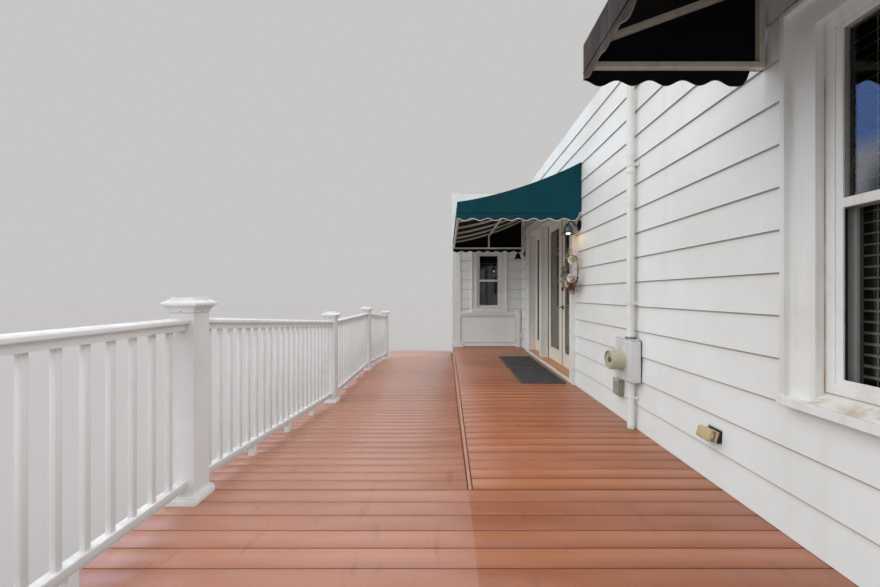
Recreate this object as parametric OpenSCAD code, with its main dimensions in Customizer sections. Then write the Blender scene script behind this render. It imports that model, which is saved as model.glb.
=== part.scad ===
// Front porch with a ramp, a railing, a lap-sided house wall, French doors and two awnings.
// Sizes are real ones in millimetres. The origin is at the ground, under the middle of the porch.
// X runs from the outer railing to the house, Y from the near end to the far end, Z is up.

/* [Deck] */
// Width of the decking, from its outer edge to the house wall
deck_w = 3037; // [2800:1:3400]
// Height of the level deck above the ground
deck_top = 460; // [440:1:600]
// Thickness of a decking board
board_t = 25; // [20:1:32]
// Width of the ramp strip along the outer edge
ramp_w = 1612; // [1400:1:1700]
// Length of the level deck before the first ramp
near_run = 2580; // [2560:1:2700]
// Length of each ramp
ramp_run = 2400; // [2200:1:2600]
// Fall of each ramp
ramp_drop = 200; // [150:1:200]
// Length of the landing between the ramps
landing_run = 1900; // [1700:1:2200]
// Length of the low pad after the second ramp
pad_run = 900; // [600:1:1500]
// Gap left between lengths of decking
board_gap = 5; // [3:1:8]
// Thickness of the fascia boards
fascia_t = 20; // [18:1:30]
// Depth of the fascia boards
fascia_h = 184; // [140:1:184]
// Thickness of the board that faces the step beside the ramp
skirt_t = 18; // [16:1:25]

/* [Deck frame] */
// Depth of the joists
joist_h = 184; // [140:1:184]
// Thickness of the joists
joist_t = 38; // [35:1:50]
// Thickness of the beams under the joists
beam_t = 76; // [70:1:100]
// Depth of the beams under the joists
beam_h = 184; // [140:1:200]
// Side of a square concrete pad
pad_w = 300; // [200:1:400]
// Distance from each end of the near deck and of the landing to its first beam or pad
beam_inset = 120; // [80:1:300]
// Distance from the wing wall to the last beam
last_beam_gap = 200; // [150:1:400]
// Distance from the house wall or the step to the nearest pads
pad_gap = 60; // [40:1:120]

/* [Railing] */
// Distance from the outer edge of the deck to the middle of the posts
rail_x = 105; // [100:1:140]
// Distance from the near end of the deck to the middle of the first post
first_post_y = 96; // [92:1:120]
// Post spacing on the level deck and along the first ramp
long_bay = 2402; // [2300:1:2450]
// Post spacing along the landing and the second ramp
short_bay = 1925; // [1800:1:2000]
// Side of a square post
post_w = 125; // [100:1:140]
// Height of a post with its cap
post_h = 1080; // [1000:1:1150]
// Side of the cap's widest plate
cap_w = 183; // [170:1:184]
// Height of the whole cap
cap_h = 78; // [70:1:90]
// Side of the base collar
collar_w = 164; // [150:1:176]
// Height of the base collar
collar_h = 56; // [40:1:70]
// Height of the top of the hand rail above the floor
rail_h = 975; // [900:1:990]
// Width of the hand rail
hand_w = 80; // [60:1:90]
// Height of the hand rail's rounded cap
hand_h = 31; // [25:1:40]
// Width of the rail body under the cap, and of the bottom rail
sub_w = 48; // [44:1:55]
// Height of the rail body under the cap
sub_h = 34; // [30:1:45]
// Height of the underside of the bottom rail above the floor
foot_h = 72; // [60:1:90]
// Height of the bottom rail
low_rail_h = 48; // [40:1:60]
// Side of a square baluster
baluster_w = 24; // [20:1:40]
// Spacing of the balusters
baluster_pitch = 105; // [95:1:115]
// Side of a small foot under the bottom rail
foot_w = 40; // [30:1:46]
// Spacing of the small feet under the bottom rail
foot_pitch = 570; // [450:1:700]

/* [House walls] */
// Height of the walls above the deck
wall_h = 3200; // [3000:1:3600]
// Thickness of a wall from the face of its boards to the inside
wall_t = 153; // [153:1:220]
// Height of one course of lap siding that shows
course_h = 200; // [160:1:220]
// Depth of the siding at the foot of a course
lap_t = 16; // [12:1:20]
// Depth of the siding at the top of a course
lap_top_t = 6; // [4:1:8]
// Distance from the door awning to the face of the wing wall
wing_clear = 190; // [150:1:400]
// Gap between the edge of the ramp strip and the wing's side wall
wing_gap = 11; // [5:1:30]
// Thickness of a casing or corner board over the wall's sheathing
trim_t = 38; // [30:1:45]
// Width of the corner board of the wing
corner_w = 150; // [120:1:160]
// Height of the base blocks and of the base strip of the wing
base_h = 80; // [50:1:120]
// Width of the corner's base block beside its board
base_side = 61; // [30:1:90]
// Height of the top of the wing panel's ledge above the deck
ledge_top = 727; // [700:1:760]
// Height of the ledge itself
ledge_h = 97; // [60:1:120]
// Height of the half post at the end of the wing panel
half_post_h = 775; // [740:1:850]
// Width of the half post
half_post_w = 79; // [50:1:100]
// Gap between the half post and the main wall
half_post_gap = 41; // [30:1:100]

/* [Doors] */
// Distance from the near end to the near jamb of the doors
door_y = 5087; // [5080:1:5120]
// Clear width between the jambs of the pair of doors
pair_w = 1403; // [1380:1:1500]
// Width of the pier between the pair and the fixed side panel
pier_w = 125; // [100:1:140]
// Clear width of the fixed side panel
side_w = 730; // [700:1:760]
// Width of the casing boards
casing_w = 147; // [120:1:160]
// Height of the sill above the deck
sill_h = 65; // [50:1:90]
// Clear height from the sill to the head of the frame
door_h = 2141; // [2050:1:2200]
// Thickness of the jambs and the head
jamb_t = 32; // [25:1:40]
// Thickness of a door leaf
leaf_t = 45; // [40:1:50]
// Gap around a leaf
leaf_gap = 6; // [5.5:0.5:7]
// Gap between the two leaves
meet_gap = 9; // [9:0.5:12]
// Width of the stiles and the top rail of a leaf
stile_w = 110; // [95:1:120]
// Height of the bottom rail of a leaf
kick_h = 185; // [150:1:220]
// Thickness of the glass units
glass_t = 20; // [6:1:24]
// Height of the lever above the deck
lever_z = 910; // [850:1:1000]
// Height of the deadbolt above the lever
bolt_up = 262; // [200:1:280]
// Radius of a hinge knuckle
knuckle_r = 7; // [6:0.5:8]
// Height of a hinge
hinge_h = 100; // [80:1:120]
// Reach of a lever out of the face of its leaf
lever_reach = 52; // [45:1:60]

/* [Windows] */
// Distance from the near end to the middle of the near window
near_win_y = 1612; // [1600:1:1640]
// Clear width of the near window
near_win_w = 884; // [700:1:900]
// Height of the near window's sill above the deck
near_win_z = 645; // [600:1:700]
// Clear height of the near window
near_win_h = 1581; // [1400:1:1600]
// Width of the casing boards of the near window
near_casing_w = 137; // [110:1:170]
// Depth of the near window's sill below its opening
near_sill_drop = 40; // [30:1:80]
// Distance from the main wall to the middle of the wing's window
wing_win_x = 675; // [660:1:700]
// Clear width of the wing's window
wing_win_w = 500; // [450:1:560]
// Height of the wing window's sill above the deck
wing_win_z = 805; // [790:1:850]
// Clear height of the wing's window
wing_win_h = 1150; // [1100:1:1400]
// Width of the casing boards of the wing's window
wing_casing_w = 120; // [80:1:130]
// Width of a sash's stiles and outer rails
sash_w = 66; // [50:1:75]
// Height of the rails where the sashes meet
meeting_h = 44; // [35:1:60]
// Thickness of a sash
sash_t = 35; // [30:1:40]

/* [Awnings] */
// Distance from the near end to the near side of the door awning
door_awning_y = 4730; // [4700:1:4760]
// Width of the door awning
door_awning_w = 3210; // [3000:1:3300]
// Reach of the door awning from the wall
door_awning_reach = 1430; // [1200:1:1500]
// Height of the door awning's top above the deck, at the wall
door_awning_top = 2620; // [2560:1:2800]
// Height of its upper front edge above the deck
door_awning_front = 2161; // [2130:1:2200]
// Height of its lower frame bar above the deck
door_awning_bar = 2026; // [2010:1:2060]
// Drop of the middle of its top below a straight line
door_awning_sag = 60; // [20:1:80]
// Distance from the near end to the near side of the window awning
win_awning_y = 900; // [880:1:940]
// Width of the window awning
win_awning_w = 1420; // [1380:1:1460]
// Reach of the window awning from the wall
win_awning_reach = 878; // [760:1:920]
// Height of the window awning's top above the deck, at the wall
win_awning_top = 2640; // [2560:1:2800]
// Height of its upper front edge above the deck
win_awning_front = 2320; // [2300:1:2360]
// Height of its lower frame bar above the deck
win_awning_bar = 2205; // [2190:1:2230]
// Depth of the valance below the lower frame bar
valance_h = 86; // [60:1:100]
// Length of one scallop of the valance
scallop_l = 180; // [120:1:240]
// Height of a scallop
scallop_h = 28; // [15:1:40]
// Thickness of the awning cloth as a solid
cloth_t = 5; // [3:1:8]
// Side of the awning's frame tubes
tube_w = 30; // [20:1:34]

/* [Fittings] */
// Diameter of a lantern's bell shade
shade_d = 175; // [150:1:200]
// Height of a lantern's bell shade
shade_h = 110; // [95:1:130]
// Distance from the wall to the middle of a lantern's shade
lantern_reach = 130; // [120:1:160]
// Height of a shade's rim above the deck
lantern_z = 1800; // [1750:1:1850]
// Diameter of a lantern's round wall plate
plate_d = 120; // [100:1:130]
// Height of the wall plate's middle above the rim
plate_z = 98; // [70:1:110]
// Radius of the bend of a lantern's gooseneck
neck_bend = 36; // [30:1:45]
// Distance from the door casing to the middle of the near lantern
near_lantern_gap = 140; // [120:1:180]
// Distance from the wing wall to the middle of the far lantern
far_lantern_gap = 320; // [300:1:350]
// Radius of the wreath's ring to the middle of its vine
wreath_r = 190; // [150:1:200]
// Radius of the wreath's vine bundle
vine_r = 45; // [35:1:50]
// Height of the middle of the wreath above the deck
wreath_z = 1370; // [1300:1:1450]
// Distance from the door casing's outer edge to the middle of the wreath
wreath_side = 95; // [80:1:120]
// Distance from the near end to the middle of the meter box
meter_y = 3558; // [3300:1:3600]
// Width of the meter box
meter_box_w = 264; // [220:1:280]
// Height of the meter box
meter_box_h = 343; // [320:1:420]
// Depth of the meter box
meter_box_t = 98; // [90:1:140]
// Height of the foot of the meter box above the deck
meter_box_z = 386; // [370:1:450]
// Diameter of the meter
meter_d = 163; // [140:1:170]
// Length of the meter out of its box
meter_l = 113; // [100:1:150]
// Diameter of the service conduit over the meter box
conduit_d = 60; // [50:1:70]
// Diameter of the service conduit under the meter box
low_conduit_d = 52; // [40:1:60]
// Distance from the middle of the meter box to the middle of the conduits
conduit_side = 38; // [0:1:60]
// Distance from a conduit to the face of the wall
standoff = 14; // [4:1:20]
// Height of the lowest strap of the conduits above the deck
low_strap_z = 240; // [150:1:300]
// Height of the middle strap above the deck
middle_strap_z = 1010; // [900:1:1300]
// Height of the top strap above the deck
top_strap_z = 2139; // [1800:1:2500]
// Distance from the near end to the middle of the near outlet
outlet_y = 2643; // [2500:1:2700]
// Height of the near outlet's middle above the deck
outlet_z = 290; // [250:1:400]
// Distance from the middle of the meter box to the cable box
cable_box_y = 217; // [205:1:320]
// Distance from the wing wall to the middle of the far outlet
far_outlet_gap = 150; // [120:1:200]
// Length of a door mat
mat_l = 965; // [900:1:1000]
// Width of a door mat
mat_w = 560; // [450:1:600]
// Thickness of a door mat
mat_t = 10; // [6:1:15]
// Distance from the near jamb to the seam between the mats
mat_seam = 898; // [700:1:1000]
// Distance from the wall to the far mat
mat_gap = 87; // [70:1:120]
// How much closer to the wall the near mat lies
mat_shift = 10; // [0:1:30]

/* [Hidden] */
$fn = 48;
fit = 0.3;
tiny = 0.01;
butt_gap = 0.5;
wall_x = deck_w;
core_x = wall_x + lap_t;
wall_back = wall_x + wall_t;
wall_top = deck_top + wall_h;
ramp_y = near_run;
landing_y = ramp_y + ramp_run;
low_ramp_y = landing_y + landing_run;
pad_y = low_ramp_y + ramp_run;
porch_l = pad_y + pad_run;
wing_x = ramp_w + wing_gap;
wing_y = door_awning_y + door_awning_w + wing_clear;
wing_core_y = wing_y + lap_t;
wing_back = wing_y + wall_t;
wing_core_x = wing_x + lap_t;
overall_w = wall_back + lever_reach;

// The floor line of the ramp strip, as distance from the near end and height
floor_line = [
    [0, deck_top],
    [ramp_y, deck_top],
    [landing_y, deck_top - ramp_drop],
    [low_ramp_y, deck_top - ramp_drop],
    [pad_y, deck_top - 2 * ramp_drop],
    [porch_l, deck_top - 2 * ramp_drop],
];
// Where the floor of the ramp strip changes its slope
breaks = [0, ramp_y, landing_y, low_ramp_y, pad_y, porch_l];
post_y = [
    first_post_y,
    first_post_y + long_bay,
    first_post_y + 2 * long_bay,
    first_post_y + 2 * long_bay + short_bay,
    first_post_y + 2 * long_bay + 2 * short_bay,
];
wall_post_x = wall_x - cap_w / 2 - fit;
end_post_x = [(rail_x + wall_post_x) / 2, wall_post_x];

sill_z = deck_top + sill_h;
head_z = sill_z + door_h;
pier_y = door_y + pair_w;
side_y = pier_y + pier_w;
side_end = side_y + side_w;
rough_y0 = door_y - jamb_t;
rough_y1 = side_end + jamb_t;
rough_top = head_z + jamb_t;
leaf_in = wall_back;
leaf_out = wall_back - leaf_t;
leaf_w = (pair_w - 2 * leaf_gap - meet_gap) / 2;
leaf_z0 = sill_z + leaf_gap;
leaf_z1 = head_z - leaf_gap;
near_leaf_y = door_y + leaf_gap;
far_leaf_y = near_leaf_y + leaf_w + meet_gap;
casing_top = head_z + casing_w;
band_t = 12;
band_w = 22;
stop_t = 12;
stop_w = 22;
pier_back = 12;
sill_board_t = 14;
liner_t = 20;

near_win_y0 = near_win_y - near_win_w / 2;
near_win_y1 = near_win_y + near_win_w / 2;
near_win_z0 = deck_top + near_win_z;
near_win_z1 = near_win_z0 + near_win_h;
near_sill_z = near_win_z0 - near_sill_drop;
wing_win_x0 = wall_x - wing_win_x - wing_win_w / 2;
wing_win_x1 = wall_x - wing_win_x + wing_win_w / 2;
wing_win_z0 = deck_top + wing_win_z;
wing_win_z1 = wing_win_z0 + wing_win_h;
ledge_z = deck_top + ledge_top;
half_post_x = wall_x - half_post_gap - half_post_w;

near_beam_y = [for (i = [0 : 2]) beam_inset + i * (near_run - 2 * beam_inset - beam_t) / 2];
porch_beam_y = [for (i = [1 : 4]) near_run + i * (wing_y - near_run - last_beam_gap) / 4];
beam_top = deck_top - board_t - joist_h;
beam_low = beam_top - beam_h;

hinge_x = wall_back + knuckle_r;
hinge_z = [for (t = [0.1, 0.5, 0.9]) leaf_z0 + t * (leaf_z1 - leaf_z0) - hinge_h / 2];
near_hinge_y = door_y + leaf_gap / 2;
far_hinge_y = pier_y - leaf_gap / 2;
knuckle_gap = 0.5;
hinge_plate_t = 2.5;
hinge_plate_w = 28;

upper_sash_y = 32;
lower_sash_y = upper_sash_y + sash_t + 4;
near_meeting = 0.52;
wing_meeting = 0.5;
win_casing_t = 25;
win_band_t = 27;
win_band_w = 24;
pane_t = 6;

frame_back = 12;
purlin_share = 0.5;
door_cheek_back = 34;
win_cheek_back = 60;

near_lantern_y = door_y - casing_w - near_lantern_gap;
far_lantern_y = wing_y - far_lantern_gap;
plate_t = 14;
lamp_metal_t = 2.5;
socket_r = 20;
crown_h = 8;

// Boxes on the main wall: distance from the near end, height above the deck, width, height, depth
wall_boxes = [
    [outlet_y, outlet_z, 110, 80, 75],
    [meter_y + cable_box_y, outlet_z - 10, 110, 150, 50],
    [wing_y - far_outlet_gap, outlet_z - 50, 100, 100, 50],
];

function floor_z(y) = lookup(y, floor_line);

function floor_run(y0, y1) = concat(
    [[y0, floor_z(y0)]],
    [for (p = floor_line) if (p[0] > y0 && p[0] < y1) p],
    [[y1, floor_z(y1)]]
);

function lowered(points, by) = [for (p = points) [p[0], max(0, p[1] - by)]];

function turned_back(points) = [for (i = [len(points) - 1 : -1 : 0]) points[i]];

// Moves the porch's own corner, at the outer near end, to its place around the origin
module placed() {
    translate([-overall_w / 2, -porch_l / 2, 0])
        children();
}

// A box between two opposite corners
module block(low, high) {
    translate(low)
        cube(high - low);
}

// A plate between x0 and x1 with an outline in Y and Z
module side_plate(x0, x1, points) {
    translate([x0, 0, 0])
        rotate([90, 0, 90])
            linear_extrude(x1 - x0)
                polygon(points);
}

// A plate between y0 and y1 with an outline in X and Z
module cross_plate(y0, y1, points) {
    translate([0, y1, 0])
        rotate([90, 0, 0])
            linear_extrude(y1 - y0)
                polygon(points);
}

// All that lies under the floor of the ramp strip
module under_floor() {
    run = floor_run(0, porch_l);
    side_plate(-cap_w, ramp_w, concat(run, [[porch_l, -cap_w], [0, -cap_w]]));
}

// A band along the floor line, between two depths under it
module floor_band(x0, x1, y0, y1, d0, d1) {
    run = floor_run(y0, y1);
    side_plate(x0, x1, concat(lowered(run, d0), turned_back(lowered(run, d1))));
}

module level_decking() {
    color("sienna") placed() {
        block([0, 0, deck_top - board_t], [core_x, ramp_y, deck_top]);
        block(
            [ramp_w + skirt_t, ramp_y + board_gap, deck_top - board_t],
            [core_x, wing_y, deck_top]
        );
    }
}

module ramp_decking() {
    color("sienna") placed()
        for (i = [1 : 4])
            floor_band(0, ramp_w, breaks[i] + board_gap, breaks[i + 1], 0, board_t);
}

module deck_joists() {
    joists = 5;
    strip = (ramp_w - fascia_t - joist_t) / (joists - 1);
    porch_x = ramp_w + skirt_t;
    porch_strip = (core_x - porch_x - joist_t) / (joists - 1);
    color("burlywood") placed() {
        for (i = [0 : joists - 1]) {
            x = fascia_t + i * strip;
            for (j = [0 : 4])
                floor_band(
                    x, x + joist_t, max(breaks[j] + butt_gap, fascia_t), breaks[j + 1],
                    board_t, board_t + joist_h
                );
        }
        for (i = [0 : joists - 1]) {
            x = porch_x + i * porch_strip;
            block([x, fascia_t, beam_top], [x + joist_t, wing_core_y, deck_top - board_t]);
        }
    }
}

module deck_beams() {
    color("burlywood") placed() {
        for (y = near_beam_y)
            block([fascia_t, y, beam_low], [core_x, y + beam_t, beam_top]);
        for (y = porch_beam_y)
            block([ramp_w + skirt_t, y, beam_low], [core_x, y + beam_t, beam_top]);
    }
}

module deck_fascia() {
    color("sienna") placed() {
        for (i = [0 : 4])
            floor_band(
                0, fascia_t, breaks[i] + (i > 0 ? butt_gap : 0), breaks[i + 1],
                board_t, board_t + fascia_h
            );
        block(
            [fascia_t + butt_gap, 0, deck_top - board_t - fascia_h],
            [core_x, fascia_t - fit, deck_top - board_t]
        );
    }
}

module step_skirt() {
    color("tan") placed()
        block([ramp_w, ramp_y + board_gap, 0], [ramp_w + skirt_t, wing_y, deck_top]);
}

// Puts its child at the middle of each railing post, at the height of the floor there
module at_each_post() {
    for (y = post_y)
        translate([rail_x, y, floor_z(y)])
            children();
    for (x = end_post_x)
        translate([x, first_post_y, deck_top])
            children();
}

module rail_posts() {
    color("white") placed()
        difference() {
            at_each_post()
                translate([-post_w / 2, -post_w / 2, -post_w])
                    cube([post_w, post_w, post_h - cap_h + post_w]);
            under_floor();
            block([ramp_w, -post_w, 0], [core_x, ramp_y, deck_top]);
        }
}

// A square plate around the vertical axis, between two heights
module square_plate(w, z0, z1) {
    translate([-w / 2, -w / 2, z0])
        cube([w, w, z1 - z0]);
}

// Cap of a post: a band, a cove, a brim, a low slope and a flat plate on top
module post_cap() {
    edge_h = 15;
    cove_h = 37;
    plate_h = 9;
    band = 10;
    low = 0.27 * cove_h;
    steps = 5;
    square_plate(post_w + band, 0, low);
    for (i = [0 : steps - 1])
        square_plate(
            post_w + band + (cap_w - post_w - band) * (1 - cos(75 * i / steps)),
            low + (cove_h - low) * i / steps - tiny,
            low + (cove_h - low) * (i + 1) / steps
        );
    square_plate(cap_w, cove_h - tiny, cove_h + edge_h);
    translate([0, 0, cove_h + edge_h - tiny])
        linear_extrude(cap_h - cove_h - edge_h - plate_h + tiny, scale = post_w / cap_w)
            square(cap_w, center = true);
    square_plate(post_w, cap_h - plate_h - tiny, cap_h);
}

module post_caps() {
    color("white") placed()
        at_each_post()
            translate([0, 0, post_h - cap_h])
                post_cap();
}

module post_collars() {
    step_h = collar_h * 0.55;
    lip = 9;
    color("white") placed()
        difference() {
            at_each_post()
                difference() {
                    union() {
                        square_plate(collar_w, -collar_h, step_h);
                        square_plate(collar_w - lip, -tiny, (step_h + collar_h) / 2);
                        square_plate(collar_w - 2 * lip, -tiny, collar_h);
                    }
                    square_plate(post_w, -2 * collar_h, 2 * collar_h);
                }
            under_floor();
            block([ramp_w, -collar_w, 0], [core_x, ramp_y, deck_top]);
        }
}

// Outline of the hand rail: a domed cap over a narrower body, with its top at height 0
function hand_rail_outline() =
    let (dome = hand_h * 0.45)
        concat(
            [[-sub_w / 2, -hand_h - sub_h], [sub_w / 2, -hand_h - sub_h]],
            [[sub_w / 2, -hand_h], [hand_w / 2, -hand_h]],
            [for (a = [0 : 15 : 180]) [hand_w / 2 * cos(a), dome * (sin(a) - 1)]],
            [[-hand_w / 2, -hand_h], [-sub_w / 2, -hand_h]]
        );

// Outline of the bottom rail, narrower below, with its underside at height 0
function low_rail_outline() =
    let (foot = sub_w / 2 - 6, shoulder = low_rail_h * 0.35)
        [
            [-foot, 0], [foot, 0], [sub_w / 2, shoulder],
            [sub_w / 2, low_rail_h], [-sub_w / 2, low_rail_h], [-sub_w / 2, shoulder],
        ];

// A bar between two points of a plane in Y and Z, with upright ends
module sloped_bar(y0, z0, y1, z1) {
    angle = atan2(z1 - z0, y1 - y0);
    length = norm([y1 - y0, z1 - z0]);
    over = 60;
    intersection() {
        translate([0, y0, z0])
            rotate([angle, 0, 0])
                translate([0, length + over, 0])
                    rotate([90, 0, 0])
                        linear_extrude(length + 2 * over)
                            children();
        block([-cap_w, y0, 0], [cap_w, y1, wall_top]);
    }
}

// One railing panel between two post middles, along Y at x = 0, from floor z0 to floor z1
module railing_panel(y0, y1, z0, z1) {
    a = y0 + post_w / 2;
    b = y1 - post_w / 2;
    slope = (z1 - z0) / (y1 - y0);
    za = z0 + slope * (a - y0);
    zb = z0 + slope * (b - y0);
    balusters = floor((b - a) / baluster_pitch);
    first = (a + b) / 2 - (balusters - 1) * baluster_pitch / 2;
    feet = round((b - a) / foot_pitch) - 1;
    foot_gap = (b - a) / (feet + 1);
    sloped_bar(a, za + rail_h, b, zb + rail_h)
        polygon(hand_rail_outline());
    sloped_bar(a, za + foot_h, b, zb + foot_h)
        polygon(low_rail_outline());
    for (i = [0 : balusters - 1]) {
        y = first + i * baluster_pitch;
        z = z0 + slope * (y - y0);
        block(
            [-baluster_w / 2, y - baluster_w / 2, z + foot_h + low_rail_h / 2],
            [baluster_w / 2, y + baluster_w / 2, z + rail_h - hand_h - sub_h / 2]
        );
    }
    for (i = [1 : feet]) {
        y = a + i * foot_gap;
        z = z0 + slope * (y - y0);
        block(
            [-foot_w / 2, y - foot_w / 2, z - foot_w],
            [foot_w / 2, y + foot_w / 2, z + foot_h + low_rail_h / 2]
        );
    }
}

// The panel in bay i of the long railing
module railing_bay(i) {
    difference() {
        translate([rail_x, 0, 0])
            railing_panel(post_y[i], post_y[i + 1], floor_z(post_y[i]), floor_z(post_y[i + 1]));
        under_floor();
    }
}

// A panel of the railing across the near end, between two post middles
module end_panel(x0, x1) {
    translate([0, first_post_y, 0])
        difference() {
            rotate([0, 0, -90])
                railing_panel(x0, x1, deck_top, deck_top);
            block([x0, -cap_w, 0], [x1, cap_w, deck_top]);
        }
}

module level_railings() {
    color("white") placed() {
        railing_bay(0);
        railing_bay(2);
        end_panel(rail_x, end_post_x[0]);
        end_panel(end_post_x[0], end_post_x[1]);
    }
}

module ramp_railings() {
    color("white") placed() {
        railing_bay(1);
        railing_bay(3);
    }
}

module foundation() {
    joint = 2;
    color("darkgray") placed() {
        block([core_x, 0, 0], [wall_back, wing_core_y - joint, deck_top]);
        block([wing_core_x, wing_core_y, 0], [wall_back, wing_back, deck_top]);
        block([wing_core_x, wing_back + joint, 0], [wing_core_x + wall_t - lap_t, porch_l, deck_top]);
        for (y = near_beam_y)
            for (x = [beam_inset, (deck_w - pad_w) / 2, deck_w - pad_w - pad_gap])
                block([x, y + (beam_t - pad_w) / 2, 0], [x + pad_w, y + (beam_t + pad_w) / 2, beam_low]);
        for (y = porch_beam_y)
            for (x = [ramp_w + skirt_t + pad_gap, deck_w - pad_w - pad_gap])
                block([x, y + (beam_t - pad_w) / 2, 0], [x + pad_w, y + (beam_t + pad_w) / 2, beam_low]);
        for (y = [landing_y + beam_inset, low_ramp_y - beam_inset - pad_w])
            block([fascia_t, y, 0], [ramp_w, y + pad_w, deck_top - ramp_drop - board_t - joist_h]);
    }
}

module near_wall() {
    color("gainsboro") placed()
        difference() {
            block([core_x, 0, deck_top], [wall_back, rough_y0, wall_top]);
            block(
                [core_x - 1, near_win_y0 - liner_t, near_win_z0 - liner_t],
                [wall_back + 1, near_win_y1 + liner_t, near_win_z1 + liner_t]
            );
        }
}

module wall_over_doors() {
    color("gainsboro") placed()
        block([core_x, rough_y0, rough_top], [wall_back, rough_y1, wall_top]);
}

module far_wall() {
    color("gainsboro") placed()
        block([core_x, rough_y1, deck_top], [wall_back, wing_core_y, wall_top]);
}

module wing_wall() {
    color("gainsboro") placed()
        difference() {
            block([wing_core_x, wing_core_y, deck_top], [wall_back, wing_back, wall_top]);
            block(
                [wing_win_x0 - liner_t, wing_core_y - 1, wing_win_z0 - liner_t],
                [wing_win_x1 + liner_t, wing_back + 1, wing_win_z1 + liner_t]
            );
        }
}

module wing_side_wall() {
    color("gainsboro") placed()
        block([wing_core_x, wing_back, deck_top], [wing_core_x + wall_t - lap_t, porch_l, wall_top]);
}

// Saw-tooth outline of lap siding, as depth in front of the sheathing and height
function lap_outline(z0, z1) = concat(
    [[0, z0]],
    [
        for (i = [0 : ceil((z1 - z0) / course_h) - 1])
            for (end = [0, 1])
                [
                    end == 0 ? -lap_t : -lap_top_t,
                    min(z1, z0 + (i + end) * course_h)
                ]
    ],
    [[0, z1]]
);

module lap_siding() {
    course = lap_outline(deck_top, wall_top);
    main = [for (p = course) [core_x + p[0], p[1]]];
    side = [for (p = course) [wing_core_x + p[0], p[1]]];
    front = [for (p = course) [wing_core_y + p[0], p[1]]];
    color("white") placed() {
        difference() {
            cross_plate(0, wing_y - fit, main);
            block(
                [wall_x - 1, near_win_y0 - near_casing_w, near_sill_z],
                [core_x + 1, near_win_y1 + near_casing_w, near_win_z1 + near_casing_w]
            );
            block(
                [wall_x - 1, door_y - casing_w, deck_top - 1],
                [core_x + 1, side_end + casing_w, casing_top]
            );
            for (b = wall_boxes)
                wall_box(b, 1);
            at_lanterns()
                translate([-1, 0, plate_z])
                    rotate([0, 90, 0])
                        cylinder(h = lap_t + 2, r = plate_d / 2 + fit);
        }
        difference() {
            side_plate(wing_x + corner_w, core_x, front);
            block(
                [wing_win_x0 - wing_casing_w, wing_y - 1, deck_top],
                [wing_win_x1 + wing_casing_w, wing_core_y + 1, wing_win_z1 + wing_casing_w]
            );
            block(
                [wing_x, wing_y - 1, deck_top - 1],
                [half_post_x + half_post_w, wing_core_y + 1, ledge_z]
            );
            block(
                [half_post_x, wing_y - 1, deck_top],
                [half_post_x + half_post_w, wing_core_y + 1, deck_top + half_post_h]
            );
        }
        cross_plate(wing_y + corner_w, porch_l, side);
    }
}

// Corner board of the wing with its base block, and a batten in the inside corner
module corner_board() {
    base_out = 11;
    color("white") placed() {
        difference() {
            union() {
                block(
                    [wing_core_x - trim_t, wing_core_y - trim_t, deck_top],
                    [wing_x + corner_w, wing_y + corner_w, wall_top]
                );
                block(
                    [wing_core_x - trim_t - base_out, wing_core_y - trim_t - base_out, deck_top],
                    [wing_x + corner_w + base_side, wing_core_y, deck_top + base_h]
                );
            }
            block(
                [wing_core_x, wing_core_y, 0],
                [wing_x + corner_w + 1, wing_y + corner_w + 1, wall_top + 1]
            );
        }
    }
}

// Low panel under the wing window: a flat board, a ledge over it and a half post at its end
module wing_panel() {
    panel_x = wing_x + corner_w;
    base_t = 22;
    board = 12;
    nose_t = 30;
    post_out = 60;
    base_z = deck_top + base_h;
    low_z = ledge_z - ledge_h;
    step_z = ledge_z - 0.6 * ledge_h;
    color("white") placed() {
        block([panel_x + base_side, wing_core_y - base_t, deck_top], [half_post_x, wing_core_y, base_z]);
        block([panel_x, wing_core_y - board, base_z], [half_post_x, wing_core_y, low_z]);
        block([panel_x, wing_core_y - nose_t, low_z], [half_post_x, wing_core_y, step_z]);
        block([panel_x, wing_core_y - 1.5 * nose_t, step_z], [half_post_x, wing_core_y, ledge_z]);
        block(
            [half_post_x, wing_core_y - post_out, deck_top],
            [half_post_x + half_post_w, wing_core_y, deck_top + half_post_h]
        );
    }
}

// Jambs, head, pier and stops of the door frame, each a board of its own
module door_frame() {
    face_x = core_x - trim_t + pier_back;
    stop_x = leaf_out - leaf_gap;
    jamb_top = head_z - butt_gap;
    stop_top = head_z - stop_t - butt_gap;
    color("white") placed() {
        block([core_x, rough_y0, sill_z], [wall_back, door_y, jamb_top]);
        block([core_x, side_end, sill_z], [wall_back, rough_y1, jamb_top]);
        block([core_x, rough_y0, head_z], [wall_back, rough_y1, rough_top]);
        block([face_x, pier_y, sill_z], [wall_back, side_y, jamb_top]);
        for (y = [door_y + fit, pier_y - stop_t - fit])
            block([stop_x - stop_w, y, sill_z], [stop_x, y + stop_t, stop_top]);
        block([stop_x - stop_w, door_y + fit, head_z - stop_t], [stop_x, pier_y - fit, head_z - fit]);
    }
}

// Flat casing around the door unit with a raised outer band, and the riser under the sill
module door_casing() {
    y0 = door_y - casing_w;
    y1 = side_end + casing_w;
    x0 = core_x - trim_t;
    color("white") placed() {
        difference() {
            union() {
                block([x0, y0, sill_z - sill_board_t], [core_x, y1, casing_top]);
                for (y = [y0, y1 - band_w])
                    block([x0 - band_t, y, deck_top], [x0, y + band_w, casing_top]);
                block([x0 - band_t, y0, casing_top - band_w], [x0, y1, casing_top]);
            }
            block([x0 - 1, door_y, deck_top], [core_x + 1, side_end, head_z]);
        }
        block([x0, y0, deck_top], [core_x, y1, sill_z - sill_board_t]);
    }
}

module door_sill() {
    color("peru") placed() {
        block([core_x - trim_t - 6, door_y, sill_z - sill_board_t], [core_x, side_end, sill_z]);
        block([core_x, rough_y0, deck_top], [wall_back, rough_y1, sill_z]);
    }
}

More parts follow.
